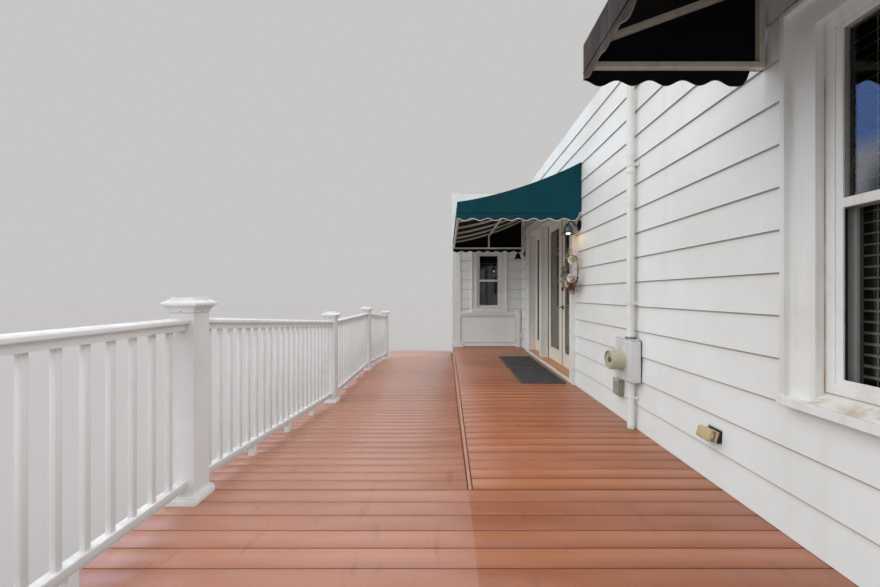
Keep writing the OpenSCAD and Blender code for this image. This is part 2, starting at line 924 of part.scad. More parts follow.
// The stretch of a hinge between two shares of its height, with a plate to the side given
module hinge_part(y, z, from, to, side) {
    translate([hinge_x, y, z + from])
        cylinder(h = to - from, r = knuckle_r);
    y1 = y + side * hinge_plate_w;
    block([wall_back, min(y, y1), z + from], [wall_back + hinge_plate_t, max(y, y1), z + to]);
}

module door_hinges() {
    third = hinge_h / 3;
    color("silver") placed()
        for (z = hinge_z) {
            for (ends = [[0, third - knuckle_gap], [2 * third + knuckle_gap, hinge_h]]) {
                hinge_part(near_hinge_y, z, ends[0], ends[1], -1);
                hinge_part(far_hinge_y, z, ends[0], ends[1], 1);
            }
        }
}

// A glazed leaf between two heights, starting at y
module glazed_leaf(y, w, z0, z1) {
    difference() {
        block([leaf_out, y, z0], [leaf_in, y + w, z1]);
        block([leaf_out - 1, y + stile_w, z0 + kick_h], [leaf_in + 1, y + w - stile_w, z1 - stile_w]);
    }
}

// The glass unit of a leaf
module leaf_pane(y, w, z0, z1) {
    x = leaf_out + (leaf_t - glass_t) / 2;
    block([x, y + stile_w, z0 + kick_h], [x + glass_t, y + w - stile_w, z1 - stile_w]);
}

module near_leaf() {
    color("white") placed()
        glazed_leaf(near_leaf_y, leaf_w, leaf_z0, leaf_z1);
}

module near_leaf_glass() {
    color("lightblue", 0.4) placed()
        leaf_pane(near_leaf_y, leaf_w, leaf_z0, leaf_z1);
}

// A lever handle set on one face of a leaf, reaching out in the direction side
module lever(side) {
    rose_t = 9;
    neck_l = lever_reach - rose_t - 16;
    rotate([0, side * 90, 0]) {
        cylinder(h = rose_t, r = 30);
        translate([0, 0, rose_t])
            cylinder(h = neck_l, r = 10);
    }
    translate([side * (lever_reach - 8), 10, 0])
        rotate([90, 0, 0])
            cylinder(h = 115, r = 8);
}

module near_leaf_hardware() {
    y = near_leaf_y + leaf_w - stile_w / 2;
    z = deck_top + lever_z;
    third = hinge_h / 3;
    color("black") placed() {
        translate([leaf_out, y, z])
            lever(-1);
        translate([leaf_in, y, z])
            lever(1);
        translate([leaf_out, y, z + bolt_up])
            rotate([0, -90, 0])
                cylinder(h = 24, r = 29);
        translate([leaf_in, y, z + bolt_up])
            rotate([0, 90, 0])
                cylinder(h = 24, r = 29);
        for (h = hinge_z)
            hinge_part(near_hinge_y, h, third + knuckle_gap, 2 * third - knuckle_gap, 1);
    }
}

module far_leaf() {
    color("white") placed()
        glazed_leaf(far_leaf_y, leaf_w, leaf_z0, leaf_z1);
}

module far_leaf_glass() {
    color("lightblue", 0.4) placed()
        leaf_pane(far_leaf_y, leaf_w, leaf_z0, leaf_z1);
}

module far_leaf_hardware() {
    third = hinge_h / 3;
    color("silver") placed()
        for (h = hinge_z)
            hinge_part(far_hinge_y, h, third + knuckle_gap, 2 * third - knuckle_gap, -1);
}

module side_panel() {
    color("white") placed()
        glazed_leaf(side_y, side_w, sill_z, head_z);
}

// A box frame for a window in a plane of local X and Z, facing -Y, with its clear corner at 0.
// Its liner runs back through the wall, its casing lies on the sheathing inside a thicker band.
module window_frame(w, h, casing, sill_drop) {
    depth = wall_t - lap_t;
    sill_out = 68;
    sill_t = 40;
    face = -win_casing_t;
    front = face - win_band_t;
    difference() {
        union() {
            block([-liner_t, 0, -liner_t], [w + liner_t, depth, h + liner_t]);
            block([-casing, face, -sill_drop], [w + casing, 0, h + casing]);
            for (x = [-casing, w + casing - win_band_w])
                block([x, front, -sill_drop], [x + win_band_w, face, h + casing]);
            block([-casing, front, h + casing - win_band_w], [w + casing, face, h + casing]);
            block([-casing, -sill_out, -sill_drop], [w + casing, 0, -sill_drop + sill_t]);
        }
        block([0, -sill_out - 1, 0], [w, depth + 1, h]);
    }
}

// One sash in the same local frame, its outer face at depth y, with its rails inside two heights
module sash(w, y, z0, z1, low_rail, high_rail) {
    difference() {
        block([0, y, z0], [w, y + sash_t, z1]);
        block([sash_w, y - 1, z0 + low_rail], [w - sash_w, y + sash_t + 1, z1 - high_rail]);
    }
}

module sash_pair(w, h, meet) {
    sash(w, upper_sash_y, meet - meeting_h / 2, h, meeting_h, sash_w);
    sash(w, lower_sash_y, 0, meet + meeting_h / 2, sash_w, meeting_h);
}

module pane_pair(w, h, meet) {
    upper = [upper_sash_y, meet + meeting_h / 2, h - sash_w];
    lower = [lower_sash_y, sash_w, meet - meeting_h / 2];
    for (pane = [upper, lower]) {
        y = pane[0] + (sash_t - pane_t) / 2;
        block([sash_w, y, pane[1]], [w - sash_w, y + pane_t, pane[2]]);
    }
}

// Puts its children at the near window's clear corner, turned to the main wall
module at_near_window() {
    translate([core_x, near_win_y1, near_win_z0])
        rotate([0, 0, -90])
            children();
}

module at_wing_window() {
    translate([wing_win_x0, wing_core_y, wing_win_z0])
        children();
}

module window_frames() {
    color("white") placed() {
        at_near_window()
            window_frame(near_win_w, near_win_h, near_casing_w, near_win_z0 - near_sill_z);
        at_wing_window()
            window_frame(wing_win_w, wing_win_h, wing_casing_w, wing_win_z0 - ledge_z);
    }
}

module window_sashes() {
    color("white") placed() {
        at_near_window()
            sash_pair(near_win_w, near_win_h, near_meeting * near_win_h);
        at_wing_window()
            sash_pair(wing_win_w, wing_win_h, wing_meeting * wing_win_h);
    }
}

module window_glass() {
    color("lightblue", 0.4) placed() {
        at_near_window()
            pane_pair(near_win_w, near_win_h, near_meeting * near_win_h);
        at_wing_window()
            pane_pair(wing_win_w, wing_win_h, wing_meeting * wing_win_h);
        leaf_pane(side_y, side_w, sill_z, head_z);
    }
}

// A slatted blind behind the near window and a curtain behind the wing's window
module window_shades() {
    shade_y = lower_sash_y + sash_t + 4;
    shade_t = 18;
    color("ivory") placed() {
        at_near_window()
            block([4, shade_y, 4], [near_win_w - 4, shade_y + shade_t, near_win_h]);
        at_wing_window()
            block([4, shade_y, 4], [wing_win_w - 4, shade_y + shade_t, wing_win_h]);
    }
}

// Point at share t of an awning's top line: from the front edge to the wall, with a sag
function top_point(reach, z_front, z_wall, sag, t) = [
    reach * (t - 1),
    z_front + (z_wall - z_front) * t - 4 * sag * t * (1 - t)
];

function top_line(reach, z_front, z_wall, sag, down) = [
    for (i = [0 : 12])
        top_point(reach, z_front, z_wall, sag, i / 12) - [0, down]
];

// Scalloped lower edge from a to b at height z, as pairs of distance and height
function scallops(a, b, z) =
    let (steps = 6 * round((b - a) / scallop_l))
        [for (i = [0 : steps]) [a + i / steps * (b - a), z + scallop_h * (1 + cos(60 * i)) / 2]];

// Cloth of an awning in local axes: the wall is at x = 0, its near side at y = 0.
// The valance of its cheeks ends at cheek_back from the wall.
module awning_cloth(w, reach, z_wall, z_front, z_bar, sag, cheek_back) {
    z_low = z_bar - valance_h;
    top = top_line(reach, z_front, z_wall, sag, 0);
    under = turned_back(top_line(reach, z_front, z_wall, sag, cloth_t));
    corner = [[-cheek_back, z_bar - tube_w], [0, z_bar - tube_w]];
    cheek_low = concat(scallops(-reach, -cheek_back, z_low), corner);
    front_low = turned_back(scallops(0, w, z_low));
    cross_plate(0, w, concat(top, under));
    for (y = [0, w - cloth_t])
        cross_plate(y, y + cloth_t, concat(top, turned_back(cheek_low)));
    side_plate(-reach, -reach + cloth_t, concat([[0, z_front], [w, z_front]], front_low));
}

// Outline of a rafter under the top line, between its front end and its back end
function rafter_outline(reach, z_front, z_wall, sag, drop, t0, t1) =
    let (line = [for (i = [0 : 10]) top_point(reach, z_front, z_wall, sag, t0 + (t1 - t0) * i / 10)])
        concat(
            [for (p = line) p - [0, drop]],
            turned_back([for (p = line) p - [0, drop + tube_w]])
        );

// Frame tubes of an awning in the same local axes, each a solid with a hair's gap to the next
module awning_frame(w, reach, z_wall, z_front, z_bar, sag, rafters) {
    skin = cloth_t + fit;
    t = tube_w;
    back = -frame_back;
    x_front = -reach + skin;
    y0 = skin;
    y1 = w - skin;
    drop = cloth_t + 2 * fit;
    bar_z = z_bar - t / 2;
    front_end = (skin + t + fit) / reach;
    back_end = 1 - (frame_back + t + fit) / reach;
    wall_bar_z = top_point(reach, z_front, z_wall, sag, back_end)[1] - drop;
    // Front bar, front lower bar and wall bar
    block([x_front, y0, z_front - drop - t], [x_front + t, y1, z_front - drop]);
    block([x_front, y0, bar_z], [x_front + t, y1, bar_z + t]);
    block([back - t, y0, wall_bar_z - t], [back, y1, wall_bar_z]);
    for (y = rafters)
        cross_plate(y, y + t, rafter_outline(reach, z_front, z_wall, sag, drop, front_end, back_end));
    // Lower side bars and wall uprights
    for (y = [y0, y1 - t]) {
        block([x_front + t + fit, y, bar_z], [back - t - fit, y + t, bar_z + t]);
        block([back - t, y, bar_z], [back, y + t, wall_bar_z - t - fit]);
    }
}

// The bar under the middle of an awning's rafters and the two struts that carry it
module awning_purlin(w, reach, z_wall, z_front, z_bar, sag) {
    skin = cloth_t + fit;
    t = tube_w;
    y1 = w - skin;
    bar_z = z_bar - t / 2;
    purlin = top_point(reach, z_front, z_wall, sag, purlin_share);
    purlin_z = purlin[1] - cloth_t - t - 3 * fit;
    for (y = [skin, y1 - t])
        block([purlin[0], y, bar_z + t + fit], [purlin[0] + t, y + t, purlin_z - t - fit]);
    block([purlin[0], skin, purlin_z - t], [purlin[0] + t, y1, purlin_z]);
}

module at_door_awning() {
    translate([wall_x - fit, door_awning_y, deck_top])
        children();
}

module at_window_awning() {
    translate([wall_x - fit, win_awning_y, deck_top])
        children();
}

module door_awning_cloth() {
    color("teal") placed()
        at_door_awning()
            awning_cloth(
                door_awning_w, door_awning_reach, door_awning_top,
                door_awning_front, door_awning_bar, door_awning_sag, door_cheek_back
            );
}

module door_awning_frame() {
    skin = cloth_t + fit;
    inner = [for (i = [1 : 5]) i * (door_awning_w - tube_w) / 6];
    color("tan") placed()
        at_door_awning() {
            awning_frame(
                door_awning_w, door_awning_reach, door_awning_top,
                door_awning_front, door_awning_bar, door_awning_sag,
                concat([skin], inner, [door_awning_w - skin - tube_w])
            );
            awning_purlin(
                door_awning_w, door_awning_reach, door_awning_top,
                door_awning_front, door_awning_bar, door_awning_sag
            );
        }
}

module window_awning_cloth() {
    color("darkslategray") placed()
        at_window_awning()
            awning_cloth(
                win_awning_w, win_awning_reach, win_awning_top,
                win_awning_front, win_awning_bar, 0, win_cheek_back
            );
}

module window_awning_frame() {
    skin = cloth_t + fit;
    color("tan") placed()
        at_window_awning()
            awning_frame(
                win_awning_w, win_awning_reach, win_awning_top, win_awning_front, win_awning_bar, 0,
                [skin, win_awning_w - skin - tube_w]
            );
}

// Outline of the bell shade's outside, from its rim to its neck, drawn in by a wall thickness
function bell_line(inset) = [
    for (a = [0 : 15 : 90])
        [
            socket_r + (shade_d / 2 - socket_r) * pow(1 - sin(a), 1.6) + 4 * cos(a) - inset,
            shade_h * (1 - pow(1 - a / 90, 1.5)) * (1 - inset / shade_h)
        ]
];

// Wall lantern in local axes: the wall is at x = 0, the rim of its shade at height 0
module lantern() {
    arm_r = 7;
    collar_r = 10;
    bend_z = shade_h + crown_h / 2;
    back_x = 2 * neck_bend - lantern_reach;
    translate([-lantern_reach, 0, 0])
        rotate_extrude()
            polygon(concat(
                bell_line(0),
                [[collar_r, shade_h + crown_h], [0, shade_h + crown_h], [0, shade_h - lamp_metal_t]],
                turned_back(bell_line(lamp_metal_t))
            ));
    // Gooseneck: up from the shade, over in a half turn, down, and into the wall plate
    translate([neck_bend - lantern_reach, 0, bend_z])
        rotate([90, 0, 0])
            rotate_extrude(angle = 180)
                translate([neck_bend, 0])
                    circle(arm_r);
    translate([back_x, 0, bend_z - collar_r / 2])
        cylinder(h = collar_r, r = collar_r);
    translate([back_x, 0, plate_z])
        cylinder(h = bend_z - plate_z, r = arm_r);
    translate([back_x, 0, plate_z])
        sphere(collar_r);
    translate([back_x, 0, plate_z])
        rotate([0, 90, 0])
            cylinder(h = -back_x - plate_t / 2, r = arm_r);
    translate([-plate_t, 0, plate_z])
        rotate([0, 90, 0])
            cylinder(h = plate_t + lap_t, r = plate_d / 2);
}

module at_lanterns() {
    for (y = [near_lantern_y, far_lantern_y])
        translate([wall_x, y, deck_top + lantern_z])
            children();
}

module lanterns() {
    color("dimgray") placed()
        at_lanterns()
            lantern();
}

module lantern_bulbs() {
    bulb_r = 24;
    stem_r = 12;
    bulb_z = 14 + bulb_r;
    color("lightyellow") placed()
        at_lanterns()
            translate([-lantern_reach, 0, bulb_z]) {
                sphere(bulb_r);
                cylinder(h = shade_h - lamp_metal_t - fit - bulb_z, r = stem_r);
            }
}

module wreath() {
    color("peru") placed()
        translate([
            core_x - trim_t - band_t - fit - vine_r,
            door_y - casing_w - wreath_side,
            deck_top + wreath_z
        ])
            rotate([0, 90, 0])
                rotate_extrude()
                    translate([wreath_r, 0])
                        circle(vine_r);
}

module meter_box() {
    r = 22;
    z = deck_top + meter_box_z;
    x0 = wall_x - meter_box_t;
    color("lightgray") placed()
        translate([0, meter_y, z]) {
            block([x0 + r, -meter_box_w / 2, 0], [wall_x, meter_box_w / 2, meter_box_h]);
            block([x0, -meter_box_w / 2 + r, 0], [x0 + r, meter_box_w / 2 - r, meter_box_h]);
            for (y = [-meter_box_w / 2 + r, meter_box_w / 2 - r])
                translate([x0 + r, y, 0])
                    cylinder(h = meter_box_h, r = r);
        }
}

// The meter: a flange, a barrel, and a face set back in its rim with a knob
module meter() {
    flange_t = 12;
    flange_out = 5;
    rim_t = 9;
    rim_depth = 14;
    r = meter_d / 2;
    color("wheat") placed()
        translate([wall_x - meter_box_t, meter_y, deck_top + meter_box_z + 0.5 * meter_box_h])
            rotate([0, -90, 0]) {
                cylinder(h = flange_t, r = r + flange_out);
                difference() {
                    cylinder(h = meter_l, r = r);
                    translate([0, 0, meter_l - rim_depth])
                        cylinder(h = rim_depth + 1, r = r - rim_t);
                }
                cylinder(h = meter_l - 3, r = r / 4);
            }
}

// A conduit of diameter d between two heights, on straps whose heights over the deck are listed
module conduit_run(d, z0, z1, straps) {
    x = wall_x - d / 2 - standoff;
    y = meter_y - conduit_side;
    strap_h = 30;
    lug = 6;
    translate([x, y, z0])
        cylinder(h = z1 - z0, r = d / 2);
    for (z = straps)
        block([x, y - d / 2 + lug, deck_top + z], [wall_x, y + d / 2 - lug, deck_top + z + strap_h]);
}

module conduit() {
    box_z = deck_top + meter_box_z;
    color("white") placed() {
        conduit_run(low_conduit_d, deck_top, box_z, [low_strap_z]);
        conduit_run(conduit_d, box_z + meter_box_h, wall_top, [middle_strap_z, top_strap_z]);
    }
}

// One box on the main wall, from its front to the sheathing and over beyond it
module wall_box(b, over) {
    block(
        [wall_x - b[4], b[0] - b[2] / 2, deck_top + b[1] - b[3] / 2],
        [core_x + over, b[0] + b[2] / 2, deck_top + b[1] + b[3] / 2]
    );
}

module wall_outlets() {
    color("wheat") placed()
        for (b = wall_boxes)
            wall_box(b, 0);
}

module door_mats() {
    seam_y = door_y + mat_seam;
    color("dimgray") placed() {
        translate([wall_x - mat_gap - mat_w, seam_y + 1, deck_top])
            cube([mat_w, mat_l, mat_t]);
        translate([wall_x - mat_gap + mat_shift - mat_w, seam_y - 1 - mat_l, deck_top])
            cube([mat_w, mat_l, mat_t]);
    }
}

level_decking();
ramp_decking();
deck_joists();
deck_beams();
deck_fascia();
step_skirt();
rail_posts();
post_caps();
post_collars();
level_railings();
ramp_railings();
foundation();
near_wall();
wall_over_doors();
far_wall();
wing_wall();
wing_side_wall();
lap_siding();
corner_board();
wing_panel();
door_frame();
door_casing();
door_sill();
door_hinges();
near_leaf();
near_leaf_glass();
near_leaf_hardware();
far_leaf();
far_leaf_glass();
far_leaf_hardware();
side_panel();
window_frames();
window_sashes();
window_glass();
window_shades();
door_awning_cloth();
door_awning_frame();
window_awning_cloth();
window_awning_frame();
lanterns();
lantern_bulbs();
wreath();
meter_box();
meter();
conduit();
wall_outlets();
door_mats();
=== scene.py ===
import math
import random

import bpy
from mathutils import Matrix, Vector


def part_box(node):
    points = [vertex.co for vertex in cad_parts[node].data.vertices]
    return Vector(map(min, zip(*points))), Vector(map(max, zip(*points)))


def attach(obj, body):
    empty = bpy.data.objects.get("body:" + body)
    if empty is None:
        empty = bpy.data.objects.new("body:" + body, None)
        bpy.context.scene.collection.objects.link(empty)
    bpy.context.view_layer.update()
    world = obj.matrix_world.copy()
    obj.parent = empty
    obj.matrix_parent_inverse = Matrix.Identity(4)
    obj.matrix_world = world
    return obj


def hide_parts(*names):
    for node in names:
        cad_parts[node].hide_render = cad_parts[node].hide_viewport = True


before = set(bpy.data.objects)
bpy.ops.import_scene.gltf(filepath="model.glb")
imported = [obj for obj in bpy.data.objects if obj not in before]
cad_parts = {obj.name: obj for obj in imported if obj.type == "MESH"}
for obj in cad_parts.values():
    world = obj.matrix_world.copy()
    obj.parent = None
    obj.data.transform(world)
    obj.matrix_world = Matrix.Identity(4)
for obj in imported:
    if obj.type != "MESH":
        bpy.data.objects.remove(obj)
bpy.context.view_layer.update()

# Places taken from the frame. All lengths are in metres.
DECK_LOW, DECK_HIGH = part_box("level_decking")
SKIRT_LOW, SKIRT_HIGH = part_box("step_skirt")
WING_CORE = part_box("wing_wall")[0]
CORE_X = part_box("far_wall")[0].x
WALL_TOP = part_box("far_wall")[1].z
EDGE_X = DECK_LOW.x
NEAR_Y = DECK_LOW.y
DECK_Z = DECK_HIGH.z
FAR_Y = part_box("ramp_decking")[1].y

# Siding
COURSE = 0.200
LAP_FOOT = 0.016
LAP_TOP = 0.006
BUTT_GAP = 0.0008
BOARD_RUN = 3.66
WALL_X = CORE_X - LAP_FOOT
WING_X = WING_CORE.x - LAP_FOOT
WING_Y = WING_CORE.y - LAP_FOOT

# Decking and ramps
BOARD_T = 0.025
BOARD_PITCH = 0.120
BOARD_GAP = 0.0045
STRIP_GAP = 0.005
RAMP_START = SKIRT_LOW.y - STRIP_GAP
RAMP_RUN = 2.400
RAMP_DROP = 0.200
LANDING_RUN = 1.900
FLOOR_LINE = [
    (NEAR_Y, DECK_Z),
    (RAMP_START, DECK_Z),
    (RAMP_START + RAMP_RUN, DECK_Z - RAMP_DROP),
    (RAMP_START + RAMP_RUN + LANDING_RUN, DECK_Z - RAMP_DROP),
    (RAMP_START + 2 * RAMP_RUN + LANDING_RUN, DECK_Z - 2 * RAMP_DROP),
    (FAR_Y, DECK_Z - 2 * RAMP_DROP),
]

# Railing
RAIL_X = EDGE_X + 0.105
POST_W = 0.125
POST_H = 1.080
CAP_H = 0.078
CAP_W = 0.183
COLLAR_W = 0.164
COLLAR_H = 0.056
RAIL_H = 0.975
FOOT_H = 0.072
LOW_RAIL_H = 0.048
FIRST_POST_Y = NEAR_Y + 0.096
LONG_BAY = 2.402
SHORT_BAY = 1.925
POST_Y = [FIRST_POST_Y + shift for shift in (0, LONG_BAY, 2 * LONG_BAY)]
POST_Y += [POST_Y[2] + SHORT_BAY, POST_Y[2] + 2 * SHORT_BAY]
WALL_POST_X = WALL_X - CAP_W / 2 - 0.0003
END_POST_X = [(RAIL_X + WALL_POST_X) / 2, WALL_POST_X]

# Windows: middle, half of the clear width, foot and head over the deck
NEAR_WIN_Y = NEAR_Y + 1.612
NEAR_OPEN = 0.442
WING_WIN_X = WALL_X - 0.675
WING_OPEN = 0.250
WING_WIN_Z = (0.805, 1.955)

OUTWARD = Matrix.Rotation(math.radians(-90), 4, "Y")
FINISHES = {}


# Modelling helpers

def deselect():
    """Leaves edit mode and selects nothing."""
    if bpy.context.object and bpy.context.object.mode != "OBJECT":
        bpy.ops.object.mode_set(mode="OBJECT")
    bpy.ops.object.select_all(action="DESELECT")


def only(obj):
    """Selects obj alone and makes it active."""
    deselect()
    obj.select_set(True)
    bpy.context.view_layer.objects.active = obj
    return obj


def settle(obj):
    """Puts the object at the origin, unturned and unscaled, with its place in its mesh."""
    only(obj)
    bpy.ops.object.transform_apply(location=True, rotation=True, scale=True)
    return obj


def block(low, high):
    """A box between two opposite corners."""
    deselect()
    bpy.ops.mesh.primitive_cube_add(size=1)
    obj = bpy.context.object
    obj.scale = [b - a for a, b in zip(low, high)]
    obj.location = [(a + b) / 2 for a, b in zip(low, high)]
    return settle(obj)


def rod(start, end, radius, sides=24):
    """A round bar between two points."""
    deselect()
    line = Vector(end) - Vector(start)
    bpy.ops.mesh.primitive_cylinder_add(vertices=sides, radius=radius, depth=line.length)
    obj = bpy.context.object
    obj.rotation_euler = line.to_track_quat("Z", "Y").to_euler()
    obj.location = (Vector(start) + Vector(end)) / 2
    return settle(obj)


def drawn(points):
    """A flat face whose corners are moved to the points of an outline."""
    deselect()
    bpy.ops.mesh.primitive_circle_add(vertices=len(points), radius=1, fill_type="NGON")
    obj = bpy.context.object
    for vertex, point in zip(obj.data.vertices, points):
        vertex.co = point
    return obj


def extruded(obj, shift):
    """Extrudes the whole flat face by a shift, into a closed bar."""
    only(obj)
    bpy.ops.object.mode_set(mode="EDIT")
    bpy.ops.mesh.select_all(action="SELECT")
    bpy.ops.mesh.extrude_region_move(TRANSFORM_OT_translate={"value": tuple(shift)})
    bpy.ops.mesh.select_all(action="SELECT")
    bpy.ops.mesh.normals_make_consistent(inside=False)
    bpy.ops.object.mode_set(mode="OBJECT")
    return obj


def stacked(centre, rings):
    """A square turned bar: half widths and heights, drawn up ring by ring from a plane."""
    deselect()
    half, low = rings[0]
    bpy.ops.mesh.primitive_plane_add(size=2 * half, location=(0, 0, low))
    obj = bpy.context.object
    bpy.ops.object.mode_set(mode="EDIT")
    bpy.ops.mesh.select_all(action="SELECT")
    for wide, high in rings[1:]:
        bpy.ops.mesh.extrude_region_move(TRANSFORM_OT_translate={"value": (0, 0, high - low)})
        share = wide / half
        bpy.ops.transform.resize(value=(share, share, 1), center_override=(0, 0, high))
        half, low = wide, high
    bpy.ops.mesh.select_all(action="SELECT")
    bpy.ops.mesh.normals_make_consistent(inside=False)
    bpy.ops.object.mode_set(mode="OBJECT")
    obj.location = obj.location + Vector(centre)
    return settle(obj)


def pick_edges(obj, test):
    """Enters edit mode with only the edges selected whose two corners pass the test."""
    only(obj)
    bpy.context.tool_settings.mesh_select_mode = (False, True, False)
    mesh = obj.data
    mesh.vertices.foreach_set("select", [False] * len(mesh.vertices))
    mesh.edges.foreach_set("select", [test(*[mesh.vertices[i] for i in e.vertices]) for e in mesh.edges])
    bpy.ops.object.mode_set(mode="EDIT")


def cut_closing_edge(obj):
    """Opens a ring of edges between its last corner and its first, which lie on the axis."""
    ends = {0, len(obj.data.vertices) - 1}
    pick_edges(obj, lambda a, b: {a.index, b.index} == ends)
    bpy.ops.mesh.delete(type="EDGE")
    bpy.ops.object.mode_set(mode="OBJECT")


def turned(centre, outline, steps=48):
    """A shape of turning around the upright axis through centre: radius and height pairs."""
    deselect()
    bpy.ops.mesh.primitive_circle_add(vertices=len(outline), radius=1, fill_type="NOTHING")
    obj = bpy.context.object
    for vertex, (radius, height) in zip(obj.data.vertices, outline):
        vertex.co = (radius, 0, height)
    if outline[0][0] == 0 and outline[-1][0] == 0:
        cut_closing_edge(obj)
    bpy.ops.object.mode_set(mode="EDIT")
    bpy.ops.mesh.select_all(action="SELECT")
    bpy.ops.mesh.spin(steps=steps, angle=2 * math.pi, center=(0, 0, 0), axis=(0, 0, 1))
    bpy.ops.mesh.select_all(action="SELECT")
    bpy.ops.mesh.remove_doubles(threshold=0.00002)
    bpy.ops.mesh.normals_make_consistent(inside=False)
    bpy.ops.object.mode_set(mode="OBJECT")
    obj.location = centre
    return settle(obj)


def turned_out(place, outline, steps, turn=OUTWARD):
    """A shape of turning at a place on an upright face, with its axis turned out of the face."""
    obj = turned((0, 0, 0), outline, steps)
    obj.data.transform(Matrix.Translation(place) @ turn)
    return obj


def tube(points, radius, closed=False, sides=3, smooth=True):
    """A round tube along a curve through the points."""
    curve = bpy.data.curves.new("tube", "CURVE")
    curve.dimensions = "3D"
    curve.bevel_depth = radius
    curve.bevel_resolution = sides
    curve.resolution_u = 4 if smooth else 1
    curve.use_fill_caps = not closed
    spline = curve.splines.new("NURBS" if smooth else "POLY")
    spline.points.add(len(points) - 1)
    for place, point in zip(spline.points, points):
        place.co = (*point, 1)
    spline.use_cyclic_u = closed
    spline.use_endpoint_u = not closed
    obj = bpy.data.objects.new("tube", curve)
    bpy.context.scene.collection.objects.link(obj)
    only(obj)
    bpy.ops.object.convert(target="MESH")
    return bpy.context.object


def modify(obj, kind, **values):
    """Adds a modifier and applies it."""
    only(obj)
    modifier = obj.modifiers.new(kind.lower(), kind)
    for key, value in values.items():
        setattr(modifier, key, value)
    bpy.ops.object.modifier_apply(modifier=modifier.name)
    return obj


def swung(degrees, axis):
    """A turn about an axis through the origin."""
    return Matrix.Rotation(math.radians(degrees), 4, axis)


def repeated(obj, count, step):
    """Repeats a piece, each copy a step on from the last."""
    return modify(
        obj, "ARRAY", count=count, use_relative_offset=False,
        use_constant_offset=True, constant_offset_displace=step,
    )


def rounded(obj, width, segments=2, angle=30):
    """Rounds every edge that is sharper than the angle."""
    return modify(
        obj, "BEVEL", width=width, segments=segments,
        limit_method="ANGLE", angle_limit=math.radians(angle),
    )


def copied(obj, matrix):
    """A copy with its own mesh, moved by a matrix."""
    twin = obj.copy()
    twin.data = obj.data.copy()
    bpy.context.scene.collection.objects.link(twin)
    twin.data.transform(matrix)
    if matrix.determinant() < 0:
        twin.data.flip_normals()
    return twin


def shifted(x=0, y=0, z=0):
    """A move."""
    return Matrix.Translation((x, y, z))


def joined(parts):
    """Joins the pieces into the first one."""
    deselect()
    for part in parts:
        part.select_set(True)
    bpy.context.view_layer.objects.active = parts[0]
    bpy.ops.object.join()
    return parts[0]


def carved(obj, cutters, overlap=False):
    """Cuts the joined cutters out of obj; overlap allows cutters that cross each other."""
    cutter = joined(cutters)
    modify(obj, "BOOLEAN", operation="DIFFERENCE", object=cutter, solver="EXACT", use_self=overlap)
    bpy.data.objects.remove(cutter)
    return obj


def finished(obj, name, slot, look="", body="root", replaces=(), smooth=35):
    """Names a modelled piece, gives it its finish and places it on its body."""
    only(obj)
    if smooth:
        bpy.ops.object.shade_smooth_by_angle(angle=math.radians(smooth))
    obj.name = name
    obj.data.name = name
    obj.data.materials.clear()
    obj.data.materials.append(FINISHES[look or slot])
    if replaces:
        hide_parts(*replaces)
    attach(obj, body)
    return obj


def dressed(node, look, soften, segments):
    """Gives a kept CAD node its finish and slightly rounded edges."""
    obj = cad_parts[node]
    for holder in obj.material_slots:
        holder.material = FINISHES[look]
    if soften:
        weld = obj.modifiers.new("weld", "WELD")
        weld.merge_threshold = 0.00001
        bevel = obj.modifiers.new("soft_edges", "BEVEL")
        bevel.width = soften
        bevel.segments = segments
        bevel.limit_method = "ANGLE"
        bevel.angle_limit = math.radians(40)
        bevel.harden_normals = False


def floor_height(y):
    """Height of the ramp strip's floor at a distance along the porch."""
    for (y0, z0), (y1, z1) in zip(FLOOR_LINE, FLOOR_LINE[1:]):
        if y <= y1:
            return z0 + (z1 - z0) * (y - y0) / (y1 - y0)
    return FLOOR_LINE[-1][1]


def islands(node):
    """The boxes of a CAD node's separate solids, as lowest and highest corners."""
    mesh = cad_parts[node].data
    owner = {}
    groups = []
    places = [tuple(round(c, 5) for c in v.co) for v in mesh.vertices]
    for face in mesh.polygons:
        touched = {owner[places[i]] for i in face.vertices if places[i] in owner}
        target = min(touched) if touched else len(groups)
        if not touched:
            groups.append(set())
        for other in touched - {target}:
            for point in groups[other]:
                owner[point] = target
            groups[target] |= groups[other]
            groups[other] = set()
        for i in face.vertices:
            owner[places[i]] = target
            groups[target].add(places[i])
    boxes = []
    for group in groups:
        if group:
            low = Vector([min(p[k] for p in group) for k in range(3)])
            high = Vector([max(p[k] for p in group) for k in range(3)])
            boxes.append((low, high))
    return sorted(boxes, key=lambda ends: ends[0].y)


# Shader helpers

def paint(red, green, blue):
    """A colour given as it looks on a screen, from 0 to 255, as the shader's linear one."""
    linear = [
        (c / 255 / 12.92) if c / 255 <= 0.04045 else ((c / 255 + 0.055) / 1.055) ** 2.4
        for c in (red, green, blue)
    ]
    return (*linear, 1.0)


def add(tree, kind, settings=None, **inputs):
    """A node with its settings and inputs; an input is a value or another node's socket."""
    made = tree.nodes.new("ShaderNode" + kind)
    for key, value in (settings or {}).items():
        setattr(made, key, value)
    for key, value in inputs.items():
        feed(tree, made.inputs[key.replace("_", " ")], value)
    return made


def feed(tree, socket, value):
    if isinstance(value, bpy.types.NodeSocket):
        tree.links.new(value, socket)
    else:
        socket.default_value = value


def reckon(tree, operation, a, b=0.0):
    """A sum on one or two values."""
    made = tree.nodes.new("ShaderNodeMath")
    made.operation = operation
    feed(tree, made.inputs[0], a)
    feed(tree, made.inputs[1], b)
    return made.outputs[0]


def mixed(tree, share, a, b):
    """A colour between a and b."""
    made = tree.nodes.new("ShaderNodeMix")
    made.data_type = "RGBA"
    feed(tree, made.inputs[0], share)
    feed(tree, made.inputs[6], a)
    feed(tree, made.inputs[7], b)
    return made.outputs[2]


